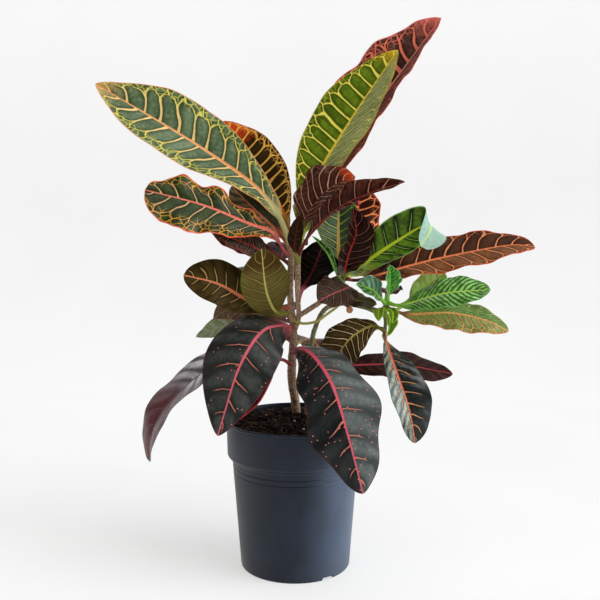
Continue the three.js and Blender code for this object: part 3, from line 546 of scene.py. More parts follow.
def leaf_material(leaf, spacing):
    """Veins, net, margin, flecks and mottling, drawn in the leaf's own coordinates."""
    g = Graph(leaf.name.replace("leaf", "leaf_paint"))
    t, v, p, x, y, rim, top = (g.mark("leaf_" + key) for key in ("t", "v", "p", "x", "y", "rim", "top"))
    out = abs(v)
    side = v > 0.0
    shift = leaf.seed * SEED_SHIFT
    place = g.vector(x, y, shift)
    sheet = g.vector(x + shift, y)
    fine = g.noise(place, 0.22, 4.0, 0.6)
    broad = g.noise(place, 0.045, 2.0)
    started = g.step(t, 0.015, 0.06)

    # Side veins: one line for each whole number of p, that turns into arches near the margin
    number = p + side * 0.5 + (broad - 0.5) * 0.18
    wave = abs(g.math("FRACT", number) - 0.5)
    parted = out + (g.noise(place, 0.1, 1.0) - 0.5) * 0.3
    turned = g.ramp(parted, leaf.arch, leaf.arch + ARCH_DEPTH, 0.0, ARCH_END)
    flat = g.math("SQRT", 1.0 - turned * turned)
    fork = (1.0 - flat) * (0.5 * leaf.fork / ARCH_REST)
    lean = turned / flat * (0.5 * leaf.fork / ARCH_DEPTH * spacing / (leaf.wide / 2))
    lean = lean * (parted < leaf.arch + ARCH_DEPTH)
    apart = abs(wave - fork) * spacing / g.math("SQRT", lean * lean + 1.0)
    width = g.step(out, 0.0, 1.0, leaf.line * 0.44, leaf.line * 0.22)
    width = width + g.step(out, 0.0, 0.2, leaf.line * 0.2, 0.0)
    veins = g.step(apart, width, width + VEIN_BLUR, 1.0, 0.0) * started
    if leaf.reach < 1:
        veins = veins * g.step(out + fine * 0.2, leaf.reach, leaf.reach + 0.25, 1.0, 0.0)
    veins = veins * g.step(fine, 0.25, 0.55, 0.75, 1.0)

    # Midrib and margin
    ribwidth = g.step(t, 0.0, 1.0, leaf.ribline * 0.55, leaf.ribline * 0.12)
    rib = g.step(abs(y), ribwidth, ribwidth + RIB_BLUR, 1.0, 0.0)
    ragged = rim + fine * (leaf.edgeline * 0.8)
    edge = g.step(ragged, leaf.edgeline * 0.7, leaf.edgeline * 1.5, 1.0, 0.0) * started

    # The blade between the veins, lighter in the middle of each mesh and in broad patches as a painted sheen
    middle = g.step(apart, 0.5, spacing * 0.36) * g.step(broad + fine, 0.7, 1.3, 0.25, 1.0)
    colour = g.mix(middle, leaf.cell, leaf.cell2)
    chosen = side if leaf.half_sign > 0 else 1.0 - side
    # The pale half tints of leaves 3, 4, 19 and 23 are a painted sheen
    if leaf.half:
        streak = middle * (leaf.half_mix * (1 - leaf.half_even)) + leaf.half_mix * leaf.half_even
        colour = g.mix(streak * chosen if leaf.half_sign else streak, colour, leaf.half)
    colour = g.mix(g.step(apart, 0.0, HALO_WIDTH, 1.0, 0.0) * leaf.halo, colour, leaf.vein)
    if leaf.tip:
        spread = t + (fine - 0.5) * 0.2
        colour = g.mix(g.step(spread, leaf.tip_from - 0.08, leaf.tip_from + 0.12), colour, leaf.tip)
    if leaf.net:
        lace = g.cells(sheet, 1 / leaf.net_size, "DISTANCE_TO_EDGE", flat=True)
        stroke = leaf.line * 0.22 / leaf.net_size
        lace = g.step(lace, stroke, stroke + 0.5 / leaf.net_size, 1.0, 0.0)
        zone = g.step(out + broad * 0.3, leaf.net_from, leaf.net_from + 0.3, 0.0, leaf.net)
        if leaf.net_half:
            zone = zone * chosen
        colour = g.mix(lace * zone * started, colour, leaf.netcol or leaf.vein)

    # The lines and flecks over it, in their colours
    veincol = leaf.vein
    if leaf.netcol:
        veincol = g.mix(g.step(out, 0.35, 0.9), veincol, leaf.netcol)
    if leaf.half_vein:
        veincol = g.mix(chosen, veincol, leaf.half_vein)
    colour = g.mix(veins, colour, veincol)
    if leaf.spots:
        near = g.cells(sheet, FLECK_SCALE, "F1", flat=True)
        some = g.out(0, "SeparateColor", {0: g.cells(sheet, FLECK_SCALE, "F1", "Color", flat=True)})
        flecks = g.step(near + fine * 0.15, 0.13, 0.22, 1.0, 0.0) * (some < leaf.spots)
        colour = g.mix(flecks, colour, leaf.spot)
    if leaf.foot:
        spread = t + (broad - 0.5) * 0.2
        colour = g.mix(g.step(spread, leaf.foot_to - 0.1, leaf.foot_to + 0.1, 0.85, 0.0), colour, leaf.foot)
    edgecol = g.mix(chosen, leaf.edge, leaf.half_edge) if leaf.half_edge else leaf.edge
    colour = g.mix(edge, colour, edgecol)
    ribcol = g.mix(g.step(fine, 0.4, 0.8, 0.0, 0.6), leaf.rib, leaf.vein)
    ribcol = g.mix(g.step(t, 0.02, leaf.stem_to), leaf.stem, ribcol)
    colour = g.mix(rib, colour, ribcol)

    # The lower side is duller, with paler veins, and the stalk has its own colour; on the back leaves the lower
    # side's colour is darkened as painted shade
    under = g.mix(g.step(fine, 0.3, 0.7) * 0.4, leaf.under, leaf.cell2)
    under = g.mix(g.math("MAXIMUM", veins * 0.5, rib), under, leaf.undervein or leaf.rib)
    colour = g.mix(top, under, colour)
    stalk = g.mix(g.step(g.noise(place, 0.12), 0.5, 0.8, 0.0, 0.6), leaf.stem, leaf.rib)
    colour = g.mix(g.step(t, -0.02, 0.14), stalk, colour)

    g.bump(fine * 0.35 - veins * 0.5 - rib * 0.35, 0.0007, 0.6)
    rough = g.step(fine, 0.2, 0.8, leaf.rough, leaf.rough + 0.14) + g.math("MAXIMUM", veins, rib) * 0.12
    return g.finish(colour, rough + (1.0 - top) * 0.15, Specular_IOR_Level=leaf.gloss)


# Leaves

# Fineness of the mesh in millimetres, with the least and the most rows and columns
ROW_STEP, LEAST_ROWS, MOST_ROWS = 2.4, 26, 110
COLUMN_STEP, LEAST_COLUMNS, MOST_COLUMNS = 2.8, 12, 34
STALK_STEP = 3
# Where face holds: mid-blade or, as in the solid model, at row 6 of 11 in a wide leaf
WIDE_LEAF, WIDE_MIDDLE = 56, 0.545
# A row of points this near the margin, as a share of the half width, keeps it crisp
RIM_ROW = 0.975
# The share of its length over which the blade opens from the stalk
BLADE_OPENS = 0.14
# How far side veins lie apart, as a share of their step along the midrib, for they lean
VEIN_SPACING = 0.88
# Half the blade's thickness, and how much less that is at the margin
HALF_THICK, THINNER = 0.36, 0.12
# Relief in millimetres: the groove over the midrib, and the keels of midrib and side veins below
GROOVE, KEEL, VEIN_KEEL = 0.35, 1.5, 0.3


def leaf_of(entry, **more):
    """All values of one leaf under their names."""
    values = {**BASE_LEAF, **entry, **more}
    values.update(zip(COLOUR_NAMES, values["colours"].split()))
    return SimpleNamespace(**values)


def leaf_piece(leaf):
    wide, stalk, seed = leaf.wide, leaf.stalk, leaf.seed
    fine, length = polyline(leaf.spine)
    total = length[-1]
    blade = total - stalk
    blade_rows = int(min(MOST_ROWS, max(LEAST_ROWS, blade / ROW_STEP)))
    stalk_rows = max(4, int(stalk / STALK_STEP))
    t = np.concatenate([np.zeros(stalk_rows), np.linspace(0, 1, blade_rows + 1)])
    s = np.concatenate([np.linspace(0, stalk, stalk_rows, endpoint=False),
                        np.linspace(stalk, total, blade_rows + 1)])
    centre, tangent = along(fine, length, s)
    start = stalk_rows + int(blade_rows * (WIDE_MIDDLE if wide > WIDE_LEAF else 0.5))
    up = carried(tangent, start, leaf.face)
    across = np.cross(tangent, up)

    columns = int(min(MOST_COLUMNS, max(LEAST_COLUMNS, wide / COLUMN_STEP))) // 2 * 2
    v = np.linspace(-1, 1, columns + 1)
    v = np.sign(v) * np.abs(v) ** 0.92
    v = np.concatenate([[-1], v[1:-1], [1]])
    v = np.insert(v, [1, len(v) - 1], [-RIM_ROW, RIM_ROW])
    T, V = np.meshgrid(t, v, indexing="ij")
    S = np.repeat(s[:, None], len(v), 1)

    # Outline, fold, curl and waves
    open_ = smooth(T / BLADE_OPENS)
    tilt = math.radians(leaf.fold)
    turns = 2 * np.pi * leaf.waves * T
    uneven = 1 + leaf.skew * np.sign(V) + leaf.lobe * np.sin(turns + np.where(V > 0, 1, 3))
    base = wide / 2 * np.abs(np.sin(np.pi * np.clip(T, 0, 1) ** leaf.belly)) ** leaf.full
    half = np.maximum(base * uneven, LEAF_STALK_RADIUS * (1 - T))
    fade = open_ * V**2 * np.abs(np.sin(np.pi * T)) ** 0.5
    ripple = leaf.wave * fade * np.sin(turns + np.where(V > 0, 0.6, 2.4))
    ruffle = 0.16 * leaf.wave * open_ * V**4 * np.sin(2.6 * turns + seed + V)
    rise = open_ * (np.abs(V) * half * math.sin(tilt) - LEAF_CURL * V**2 * half) + ripple + ruffle
    out = V * half * (1 + (math.cos(tilt) - 1) * open_)

    # Side veins as a running number, so that blade, relief and paint agree
    count = leaf.count
    wobble = 0.06 * np.sin(2.3 * T * count + seed) + 0.05 * np.sin(5.1 * T * count + 2 * seed)
    lean = np.where(V > 0, leaf.rise_plus or leaf.rise, leaf.rise)
    slope = count * lean * (wide / 2) / blade
    phase = count * T**0.94 - slope * np.abs(V) ** 1.25 + wobble + 0.05 * np.sin(3 * V + seed)
    wave_at = np.abs(np.mod(phase + 0.5 * (V > 0), 1) - 0.5)
    puffed = leaf.puff * open_ * np.sin(np.pi * np.clip(np.abs(V) * 1.05, 0, 1)) ** 0.7
    rise = rise + puffed * (0.5 - 0.5 * np.cos(2 * np.pi * wave_at)) * (1 - T) ** 0.3

    # The stalk is round and flares where it leaves the stem, the blade is thin
    flare = leaf.stout + 0.55 * np.exp(-np.clip(S - 4, 0, None) / 4)
    stalk_radius = LEAF_STALK_RADIUS * (1 - 0.7 * T) * flare
    round_ = stalk_radius * np.sqrt(1 - 0.96 * V**2)
    thick = round_ * (1 - open_) + (HALF_THICK - THINNER * V**2) * open_
    y = V * half
    ribwidth = leaf.ribline * 0.5 * (1 - 0.8 * T) + 0.3
    groove = GROOVE * open_ * np.exp(-(y / ribwidth) ** 2)
    keel = KEEL * open_ * (1 - T) ** 0.8 * np.exp(-(y / (ribwidth * 0.8)) ** 2)
    vein_keel = VEIN_KEEL * open_ * np.exp(-(wave_at * blade / count / 1.3) ** 2) * (1 - np.abs(V)) * (1 - T)
    out = out * np.where(open_ < 1, 1 + (flare - 1) * (1 - open_), 1)

    place = centre[:, None] + across[:, None] * out[..., None]
    upper = place + up[:, None] * (rise + thick - groove)[..., None]
    lower = place + up[:, None] * (rise - thick - keel - vein_keel)[..., None]
    rows, cols = T.shape
    points = np.vstack([upper.reshape(-1, 3), lower.reshape(-1, 3)])
    number = np.arange(rows * cols).reshape(rows, cols)
    beneath = number + rows * cols
    faces = np.vstack([
        grid_faces(rows, cols), grid_faces(rows, cols, rows * cols, flip=True),
        strip(number[:, 0], beneath[:, 0]), strip(beneath[:, -1], number[:, -1]),
        strip(beneath[0], number[0]), strip(number[-1], beneath[-1]),
    ])

    # Marks for the paint, the same on both sides but for leaf_top
    behind = np.where(S < stalk, (S - stalk) / max(stalk, 1), 0)
    fields = {"t": T + behind, "v": V, "p": phase, "x": S, "y": y, "rim": (1 - np.abs(V)) * half}
    marks = {"leaf_" + key: np.tile(field.ravel(), 2) for key, field in fields.items()}
    marks["leaf_top"] = np.repeat([1, 0], rows * cols)
    u = np.tile((0.02 + 0.96 * S / total).ravel(), 2)
    w = (0.25 + 0.22 * V).ravel()
    uv = np.stack([u, np.concatenate([w, w + 0.5])], 1)
    material = leaf_material(leaf, blade / count * VEIN_SPACING)
    piece = new_piece(leaf.name + "_blade", points, faces, material, marks, uv)
    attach(piece, "root")
    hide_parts(leaf.name)


for leaf in LEAVES:
    leaf_piece(leaf_of(leaf))

for index, (foot, middle, tip, wide) in enumerate(BACK_LEAVES):
    reach = np.array(middle) - np.array(foot)
    stalk_end = (np.array(foot) + reach * 0.3 + [0, 0, 4]).tolist()
    paint = BACK_PAINTS[index % len(BACK_PAINTS)]
    leaf_piece(leaf_of(paint, name=f"leaf_back_{index + 1:02d}", seed=201.0 + 7 * index, wave=2.4,
                       stalk=float(np.linalg.norm(reach)) * 0.3, wide=wide, face=[0, -0.2, 1],
                       spine=[foot, stalk_end, middle, tip]))


# Stems


def bark_material():
    g = Graph("bark_paint")
    s, a, green, cut, scar = (g.mark("stem_" + key) for key in ("s", "a", "green", "cut", "scar"))
    streak = g.noise(g.vector(s * 0.25, a * 5.0, 3.0), 1.6, 4.0, 0.65)
    coords = g.coords()
    speck = g.noise(coords, 900.0, 3.0, 0.7)
    patch = g.noise(coords, 90.0, 2.0)
    rings = g.noise(coords, 1500.0, 2.0)
    brown = g.mix(g.step(streak, 0.35, 0.68), "1c0e07", "e4b890")
    brown = g.mix(g.step(patch, 0.48, 0.66, 0.0, 0.6), brown, "d0ac88")
    brown = g.mix(g.step(speck, 0.55, 0.75, 0.0, 0.6), brown, "2a170c")
    olive = g.mix(g.step(streak, 0.36, 0.66), "2c260c", "bcb884")
    colour = g.mix(scar * 0.8, g.mix(green, brown, olive), "2a1c14")
    colour = g.mix(cut, colour, g.mix(g.step(rings, 0.4, 0.6), "c87c48", "e0a070"))
    g.bump(streak * 0.7 + speck * 0.5, 0.0009, 0.8)
    return g.finish(colour, g.step(speck, 0.3, 0.7, 0.6, 0.85))


def stem_rings(points, radii, seed, sides=28, step=1.3):
    """Points and marks of one stem: leaf scars wind up it and the bark is uneven."""
    fine, length = polyline(points)
    rows = int(length[-1] / step) + 1
    s = np.linspace(0, length[-1], rows)
    centre, tangent = along(fine, length, s)
    first = [1, 0, 0] if abs(tangent[0][0]) < 0.8 else [0, 1, 0]
    side = carried(tangent, 0, first)
    radius = np.interp(s / length[-1] * (len(radii) - 1), range(len(radii)), radii)
    angle = circle(sides)
    draw = random.Random(seed)
    swell = np.zeros((rows, sides))
    scars = np.zeros((rows, sides))
    at = draw.uniform(4, 9)
    turn = draw.uniform(0, 6)
    while at < length[-1] - 3:
        gap = np.abs(np.angle(np.exp(1j * (angle - turn))))[None, :]
        arc = (s - at)[:, None] + 1.1 * gap**2
        swell += 0.55 * np.exp(-(arc / 1.3) ** 2) * np.exp(-(gap / 0.85) ** 2)
        scars += np.exp(-((arc - 1.1) / 0.7) ** 2) * np.exp(-(gap / 0.7) ** 2)
        at += draw.uniform(5.5, 11)
        turn += 2.4 + draw.uniform(-0.3, 0.3)
    grain = 0.16 * np.sin(angle * 5 + s[:, None] * 0.11 + seed) + 0.1 * np.sin(angle * 11 - s[:, None] * 0.07)
    spread = radius[:, None] + swell + grain * np.clip(radius[:, None] / 5, 0.3, 1)
    grid = centre[:, None] + spokes(side, np.cross(tangent, side), angle) * spread[..., None]
    return grid, centre, s, angle, np.clip(scars, 0, 1)


def stem_piece(node, branches, seed):
    points, faces = [], []
    marks = {key: [] for key in ("stem_s", "stem_a", "stem_green", "stem_cut", "stem_scar")}
    count = 0
    for number, (line, radii, kind) in enumerate(branches):
        grid, centre, s, angle, scars = stem_rings(line, radii, seed + number)
        rows, sides = grid.shape[:2]
        points.append(grid.reshape(-1, 3))
        faces += grid_faces(rows, sides, count, around=True).tolist()
        for end, row in enumerate((0, rows - 1)):
            rim = [count + row * sides + k for k in range(sides)]
            for k in range(sides):
                face = [rim[k], rim[(k + 1) % sides], count + rows * sides + end]
                faces.append(face if end else face[::-1])
        bulge = (centre[-1] - centre[-2]) / np.linalg.norm(centre[-1] - centre[-2]) * radii[-1] * 0.3
        points.append(np.vstack([centre[0], centre[-1] + bulge]))
        cut = float(kind == "cut")
        green = smooth((grid[..., 2] - GREEN_FROM[node]) / 60) if kind != "green" else np.ones((rows, sides))
        ends = [0, 0]
        marks["stem_s"] += np.repeat(s, sides).tolist() + [s[0], s[-1]]
        marks["stem_a"] += np.tile(np.cos(angle), rows).tolist() + ends
        marks["stem_green"] += (green * (1 - cut)).ravel().tolist() + ends
        marks["stem_cut"] += (np.repeat(s > s[-1] - 0.5, sides) * cut).tolist() + [0, cut]
        marks["stem_scar"] += scars.ravel().tolist() + ends
        count += rows * sides + 2
    piece = new_piece(node + "_bark", np.vstack(points), faces, BARK, marks, sharp=60)
    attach(piece, "root")
    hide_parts(node)


BARK = bark_material()
stem_piece("trunk", TRUNK, 5)
stem_piece("side_stem", SIDE_STEM, 15)


# Pot

POT_SIDES = 144
# The radius of the small face in the middle
HUB = 0.5
# The plastic is painted paler and bluer on its +X side as a painted sheen of the light there, and greyer on its
# -X side as painted fill light, up to this distance from the middle
POT_LIT_SIDE_REACH = 0.07


def pot_material():
    g = Graph("pot_paint")
    coords = g.coords()
    grain = g.noise(coords, 1400.0, 3.0, 0.6)
    cloud = g.noise(coords, 22.0, 3.0)
    x, z = g.axis(coords, 0), g.axis(coords, 2)
    colour = g.mix(g.step(cloud, 0.35, 0.65), "151e2a", "1d2735")
    # Painted light: a pale bluish sheen on the +X side, then a grey painted fill on the -X side
    colour = g.mix(g.step(x, 0.0, POT_LIT_SIDE_REACH) * g.step(cloud, 0.2, 0.8, 0.7, 1.0), colour, "546276")
    colour = g.mix(g.step(x, -POT_LIT_SIDE_REACH, -0.4 * POT_LIT_SIDE_REACH, 0.5, 0.0), colour, "3c3c40")
    # Paler towards the bottom, in patches
    paler_low = g.step(z, 0.0, 0.045, 0.45, 0.0)
    colour = g.mix(paler_low * g.step(cloud, 0.4, 0.7), colour, "3c4046")
    colour = g.mix(g.step(grain, 0.55, 0.8, 0.0, 0.25), colour, "333f50")
    g.bump(grain, 0.0003, 0.35)
    return g.finish(colour, g.step(cloud, 0.3, 0.7, 0.36, 0.46), Specular_IOR_Level=0.26)


def turned(profile, sides):
    """Points and quads of a profile [(radius, height)...] turned about +Z."""
    angle = circle(sides)
    ring = np.stack([np.cos(angle), np.sin(angle)], 1)
    points = np.array([[r * c, r * s, z] for r, z in profile for c, s in ring])
    return points, grid_faces(len(profile), sides, around=True).tolist()


def rounded(profile, reach=1.0, steps=4):
    """The profile with each inner corner rounded over up to reach millimetres."""
    p = np.array(profile, float)
    out = [p[0]]
    for before, corner, after in zip(p[:-2], p[1:-1], p[2:]):
        lengths = [np.linalg.norm(before - corner), np.linalg.norm(after - corner)]
        cut = min(reach, 0.45 * min(lengths))
        a = corner + (before - corner) / lengths[0] * cut
        b = corner + (after - corner) / lengths[1] * cut
        for k in range(steps + 1):
            w = k / steps
            out.append((1 - w) ** 2 * a + 2 * w * (1 - w) * corner + w * w * b)
    return out + [p[-1]]


def body_radius(z):
    return BASE_RADIUS + (NECK_RADIUS - BASE_RADIUS) * (z - BASE_BEVEL) / (NECK_Z - BASE_BEVEL)


def pot_profile():
    """The pot's section, from the middle of its underside over the rim to the middle of its floor."""
    outside = [(HUB, HOLLOW), (BASE_RADIUS - 9, HOLLOW), (BASE_RADIUS - 8, 0), (BASE_RADIUS - 1, 0),
               (BASE_RADIUS, BASE_BEVEL)]
    for z in (20, 60, 100):
        outside.append((body_radius(z), z))
    for z in RING_HEIGHTS:
        r = body_radius(z)
        outside += [(r, z - 1.4), (r - 0.45, z - 0.3), (r - 0.45, z + 0.3), (r + 0.05, z + 1.4)]
    lip = POT_HEIGHT - LIP
    outside += [
        (NECK_RADIUS, NECK_Z), (NECK_RADIUS + 1.6, NECK_Z + 2.4),
        (COLLAR_FOOT_RADIUS - 1.4, COLLAR_FOOT_Z - 2.6), (COLLAR_FOOT_RADIUS, COLLAR_FOOT_Z),
        (RIM_RADIUS - 1, lip - 1.4), (RIM_RADIUS - 1.25, lip - 0.7), (RIM_RADIUS, lip),
        (RIM_RADIUS, POT_HEIGHT - 1), (RIM_RADIUS - 1, POT_HEIGHT), (RIM_RADIUS - WALL, POT_HEIGHT),
    ]
    inside = [
        (RIM_RADIUS - WALL - 0.8, lip), (COLLAR_FOOT_RADIUS - WALL, COLLAR_FOOT_Z),
        (NECK_RADIUS - WALL, NECK_Z), (BASE_RADIUS - WALL, FLOOR), (HUB, FLOOR),
    ]
    return rounded(outside + inside, 0.7)


def slot_boxes():
    """One box for each drain slot, a little narrower at its top."""
    points, faces = [], []
    for i in range(SLOT_COUNT):
        angle = math.radians(SLOT_FIRST_ANGLE + 360 * i / SLOT_COUNT)
        out = np.array([math.cos(angle), math.sin(angle), 0])
        side = np.array([-math.sin(angle), math.cos(angle), 0])
        corner = len(points)
        for z in (-SLOT_HEIGHT, SLOT_HEIGHT):
            width = SLOT_WIDTH / 2 - (SLOT_TAPER if z > 0 else 0)
            for a, b in ((-1, -1), (1, -1), (1, 1), (-1, 1)):
                points.append(out * (BASE_RADIUS + a * SLOT_DEPTH) + side * b * width + np.array([0, 0, z]))
        for face in ((3, 2, 1, 0), (4, 5, 6, 7), (0, 1, 5, 4), (1, 2, 6, 5), (2, 3, 7, 6), (3, 0, 4, 7)):
            faces.append([corner + k for k in face])
    return points, faces


def pot_piece():
    points, faces = turned(pot_profile(), POT_SIDES)
    faces.append(list(range(POT_SIDES))[::-1])
    faces.append([len(points) - POT_SIDES + k for k in range(POT_SIDES)])
    pot = new_piece("pot_shell", points, faces, pot_material(), sharp=40)
    cutter = new_piece("pot_cutter", *slot_boxes(), pot.data.materials[0])
    modifier = pot.modifiers.new("slots", "BOOLEAN")
    modifier.operation, modifier.object, modifier.solver = "DIFFERENCE", cutter, "EXACT"
    bpy.context.view_layer.update()
    finished = bpy.data.meshes.new_from_object(pot.evaluated_get(bpy.context.evaluated_depsgraph_get()))
    pot.modifiers.clear()
    pot.data = finished
    pot.data.set_sharp_from_angle(angle=math.radians(40))
    bpy.data.objects.remove(cutter)
    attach(pot, "root")
    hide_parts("pot")


pot_piece()


# Soil: a lumpy bed with bark crumbs, root threads and perlite

SOIL_SIDES = 160
SOIL_RADIUS = RIM_RADIUS - WALL - 1.2
# How far out crumbs and threads may start, and how far they may reach
CRUMB_START, CRUMB_END = 82, 81
THREAD_START, THREAD_END = 76, 79


def soil_height(x, y):
    lump = 1.5 * np.sin(x / 7 + 2 * np.sin(y / 11)) + 1.2 * np.cos(y / 6 - 1.5 * np.sin(x / 9))
    crumble = (0.55 * np.sin(x / 1.9 + 2 * np.sin(y / 2.7)) * np.cos(y / 2.2 + np.sin(x / 3.1))
               + 0.35 * np.sin(x / 0.9 + 3 * np.sin(y / 1.3)))
    inward = np.clip(1 - np.hypot(x, y) / SOIL_RADIUS, 0, 1)
    crown = SOIL_CROWN * np.minimum(1, inward * 1.8)
    return float(SOIL_EDGE_Z + np.minimum(1, inward * 12) * (crown + lump + crumble))


def soil_material():
    g = Graph("soil_paint")
    coords = g.coords()
    crumb = g.cells(coords, 420.0, "F1")
    tint = g.noise(coords, 160.0, 4.0, 0.7)
    colour = g.mix(g.step(tint, 0.35, 0.7), "060302", "22160f")
    colour = g.mix(g.step(g.noise(coords, 700.0, 3.0), 0.58, 0.72, 0.0, 0.7), colour, "3f2a1f")
    g.bump(crumb + tint, 0.003, 1.0)
    return g.finish(colour, g.step(tint, 0.3, 0.7, 0.8, 0.97), Specular_IOR_Level=0.15)


def speckled(name, dark, light, rough):
    g = Graph(name)
    tint = g.noise(g.coords(), 500.0, 4.0, 0.65)
    g.bump(tint, 0.0006, 0.7)
    return g.finish(g.mix(g.step(tint, 0.35, 0.68), dark, light),
                    g.step(tint, 0.2, 0.8, rough, min(1.0, rough + 0.1)), Specular_IOR_Level=0.2)


def soil_bed():
    ring = [(math.cos(a), math.sin(a)) for a in circle(SOIL_SIDES)]
    clear = WALL + SOIL_CLEAR
    walls = [(BASE_RADIUS - clear, FLOOR + SOIL_CLEAR), (NECK_RADIUS - clear, NECK_Z),
             (COLLAR_FOOT_RADIUS - clear, COLLAR_FOOT_Z + 1)]
    radii = np.linspace(SOIL_RADIUS, 1.2, 52)
    points = [[0, 0, FLOOR + SOIL_CLEAR]]
    for r, z in walls:
        points += [[r * c, r * s, z] for c, s in ring]
    for r in radii:
        points += [[r * c, r * s, soil_height(r * c, r * s)] for c, s in ring]
    points.append([0, 0, soil_height(0.0, 0.0)])
    faces = grid_faces(len(walls) + len(radii), SOIL_SIDES, 1, around=True).tolist()
    last, hub = len(points) - 1 - SOIL_SIDES, len(points) - 1
    faces += [[0, 1 + (k + 1) % SOIL_SIDES, 1 + k] for k in range(SOIL_SIDES)]
    faces += [[last + k, last + (k + 1) % SOIL_SIDES, hub] for k in range(SOIL_SIDES)]
    bed = new_piece("soil_bed", points, faces, soil_material(), sharp=75)
    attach(bed, "root")
    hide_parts("soil")


def soil_spot(draw, reach):
    """A random place on the soil, and its distance from the middle."""
    r, a = reach * math.sqrt(draw.random()), draw.uniform(0, 2 * math.pi)
    return r * math.cos(a), r * math.sin(a), r


def crumbs(name, amount, sizes, material, draw, flat=0.6, sink=0.2):
    """Angular crumbs lying on the soil, all in one mesh."""
    corners = np.array([[x, y, z] for x in (-1, 1) for y in (-1, 1) for z in (-1, 1)], float)
    box = [[0, 1, 3, 2], [4, 6, 7, 5], [0, 4, 5, 1], [2, 3, 7, 6], [0, 2, 6, 4], [1, 5, 7, 3]]
    points, faces = [], []
    while amount:
        x, y, r = soil_spot(draw, CRUMB_START)
        size = draw.uniform(*sizes)
        if r > CRUMB_END - size:
            continue
        shape = np.array([c * [draw.uniform(0.6, 1.2) * size, draw.uniform(0.35, 0.8) * size,
                               draw.uniform(0.3, flat) * size] for c in corners])
        turn, lean = draw.uniform(0, 2 * math.pi), draw.uniform(-0.5, 0.5)
        spin = np.array([[math.cos(turn), -math.sin(turn), 0], [math.sin(turn), math.cos(turn), 0], [0, 0, 1]])
        tip = np.array([[1, 0, 0], [0, math.cos(lean), -math.sin(lean)], [0, math.sin(lean), math.cos(lean)]])
        faces += [[len(points) + k for k in face] for face in box]
        points += (shape @ tip.T @ spin.T + [x, y, soil_height(x, y) + size * (0.3 - sink)]).tolist()
        amount -= 1
    piece = new_piece(name, points, faces, material, sharp=30)
    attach(piece, "root")


def threads(name, amount, thickness, spans, material, draw, lift=0.6):
    """Thin curved fibres lying on the soil, all in one mesh."""
    points, faces = [], []
    sides, rows = 5, 11
    for _ in range(amount):
        x, y, _ = soil_spot(draw, THREAD_START)
        heading, bend = draw.uniform(0, 2 * math.pi), draw.uniform(-0.32, 0.32)
        step = draw.uniform(*spans) / rows
        radius = draw.uniform(*thickness)
        path = []
        for k in range(rows):
            if math.hypot(x, y) > THREAD_END:
                x, y = x * 0.97, y * 0.97
            arch = lift * math.sin(math.pi * k / (rows - 1)) * 2.5
            path.append([x, y, soil_height(x, y) + radius * 0.6 + arch])
            x, y = x + step * math.cos(heading), y + step * math.sin(heading)
            heading += bend
        path = np.array(path)
        tangent = np.gradient(path, axis=0)
        tangent /= np.linalg.norm(tangent, axis=1)[:, None]
        side = np.cross(tangent, [0, 0, 1])
        side /= np.linalg.norm(side, axis=1)[:, None]
        taper = radius * (0.35 + 0.65 * np.sin(np.pi * np.linspace(0.1, 0.9, rows)))
        grid = path[:, None] + taper[:, None, None] * spokes(side, np.cross(side, tangent), circle(sides))
        start = len(points)
        points += grid.reshape(-1, 3).tolist()
        faces += grid_faces(rows, sides, start, flip=True, around=True).tolist()
        faces.append([start + k for k in range(sides)])
        faces.append([start + (rows - 1) * sides + k for k in range(sides)][::-1])
    piece = new_piece(name, points, faces, material, sharp=70)
    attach(piece, "root")


soil_bed()
draw = random.Random(41)
crumbs("soil_crumbs", 900, (0.8, 2.6), speckled("crumb_paint", "080403", "281a13", 0.85), draw)
crumbs("soil_bark", 150, (2.2, 5.2), speckled("chip_paint", "110906", "3a271c", 0.8), draw, 0.4)
crumbs("soil_perlite", 16, (0.9, 1.7), speckled("perlite_paint", "b8b4ac", "f0eee8", 0.85), draw, 0.9, 0.0)
threads("soil_fibres", 260, (0.22, 0.5), (8, 22), speckled("fibre_paint", "2a160e", "6c4632", 0.8), draw)
threads("soil_roots", 26, (0.25, 0.45), (12, 30), speckled("root_paint", "5c4232", "94745c", 0.7), draw, 0.9)


# Floor, light and camera

# How strongly the paper glows: by the pot, further back, and what is added up the wall
FLOOR_GLOW = 0.55
CURVE_GLOW = 0.485
WALL_GLOW = 0.11
# The sheet of paper in millimetres
SHEET_SIDE = 4000
SHEET_FRONT = -3200
CURVE_START = 900
CURVE_RADIUS = 900
CURVE_STEPS = 12
WALL_TOP = 3200


def floor_material():
    """White paper that glows a little, so that it stays white while the plant keeps its contrast."""
    g = Graph("floor_paint")
    coords = g.coords()
    paper = g.mix(g.step(g.noise(coords, 3.0, 2.0), 0.3, 0.7), "b2b2b2", "b5b5b4")
    glow = (g.step(g.axis(coords, 1), -0.3, 0.9, FLOOR_GLOW, CURVE_GLOW)
            + g.step(g.axis(coords, 2), 0.3, 1.2, 0.0, WALL_GLOW))
    return g.finish(paper, 0.9, Emission_Color=(1, 0.99, 0.98, 1), Emission_Strength=glow,
                    Specular_IOR_Level=0.0)


def backdrop():
    """A seamless sheet: flat floor that curves up into a wall behind."""
    profile = [(SHEET_FRONT, 0), (CURVE_START, 0)]
    for k in range(1, CURVE_STEPS + 1):
        a = math.pi / 2 * k / CURVE_STEPS
        profile.append((CURVE_START + CURVE_RADIUS * math.sin(a), CURVE_RADIUS * (1 - math.cos(a))))
    profile.append((CURVE_START + CURVE_RADIUS, WALL_TOP))
    points = [[x, y, z] for x in (-SHEET_SIDE, SHEET_SIDE) for y, z in profile]
    rows = len(profile)
    faces = [[k, k + rows, k + 1 + rows, k + 1] for k in range(rows - 1)]
    sheet = new_piece("backdrop", points, faces, floor_material(), sharp=60)


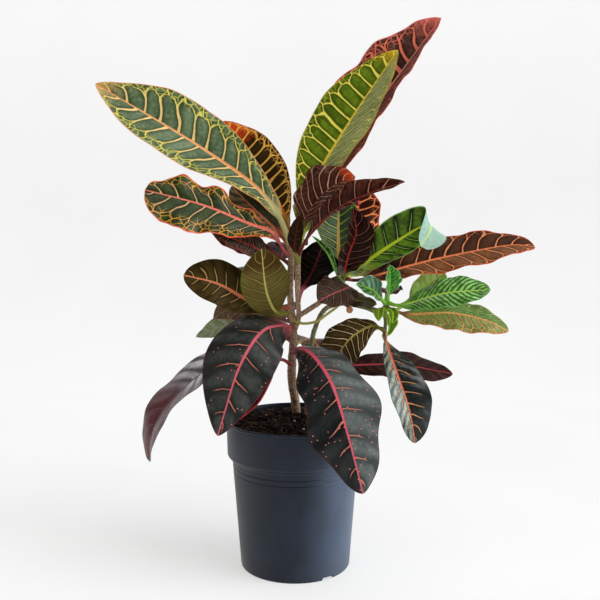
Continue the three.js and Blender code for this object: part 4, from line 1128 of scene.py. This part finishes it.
def sun(name, direction, strength, spread, colour):
    """A far light as wide as spread degrees, that shines from the given direction."""
    light = bpy.data.lights.new(name, "SUN")
    light.energy, light.angle, light.color = strength, math.radians(spread), colour
    holder = bpy.data.objects.new(name, light)
    holder.rotation_euler = Vector(direction).to_track_quat("Z", "Y").to_euler()
    bpy.context.scene.collection.objects.link(holder)


def studio():
    """Dim room for the reflections, white where the camera looks past the paper."""
    world = bpy.data.worlds.new("studio")
    world.use_nodes = True
    tree = world.node_tree
    room = tree.nodes["Background"]
    room.inputs["Color"].default_value = (0.93, 0.96, 1.0, 1)
    room.inputs["Strength"].default_value = 0.22
    white = tree.nodes.new("ShaderNodeBackground")
    white.inputs["Color"].default_value = (0.91, 0.92, 0.94, 1)
    blend = tree.nodes.new("ShaderNodeMixShader")
    rays = tree.nodes.new("ShaderNodeLightPath")
    tree.links.new(rays.outputs["Is Camera Ray"], blend.inputs[0])
    tree.links.new(room.outputs[0], blend.inputs[1])
    tree.links.new(white.outputs[0], blend.inputs[2])
    tree.links.new(blend.outputs[0], tree.nodes["World Output"].inputs["Surface"])
    bpy.context.scene.world = world
    sun("window", (1.0, -0.4, 0.8), 1.02, 30, (0.99, 0.99, 1.0))
    sun("key", (0.4, -0.5, 0.8), 0.14, 9, (1.0, 0.99, 0.97))
    sun("right wall", (1.0, -0.05, 0.08), 3.0, 60, (0.82, 0.92, 1.0))
    sun("left", (-0.8, -0.9, 0.5), 0.22, 50, (1.0, 0.97, 0.93))
    sun("above", (0.35, -0.15, 1.0), 0.75, 50, (1, 1, 1))
    bpy.context.scene.view_settings.view_transform = "Standard"


# Where the photo was taken from, in metres, how far the view points down, and its lens
CAMERA_PLACE = (0.006, -1.058, 0.447)
CAMERA_PITCH = 6.1
CAMERA_LENS = 51.84


def camera():
    data = bpy.data.cameras.new("camera")
    data.sensor_width, data.sensor_fit, data.lens = 36, "HORIZONTAL", CAMERA_LENS
    holder = bpy.data.objects.new("camera", data)
    holder.location = CAMERA_PLACE
    holder.rotation_euler = (math.radians(90 - CAMERA_PITCH), 0, 0)
    bpy.context.scene.collection.objects.link(holder)
    bpy.context.scene.camera = holder


backdrop()
studio()
camera()
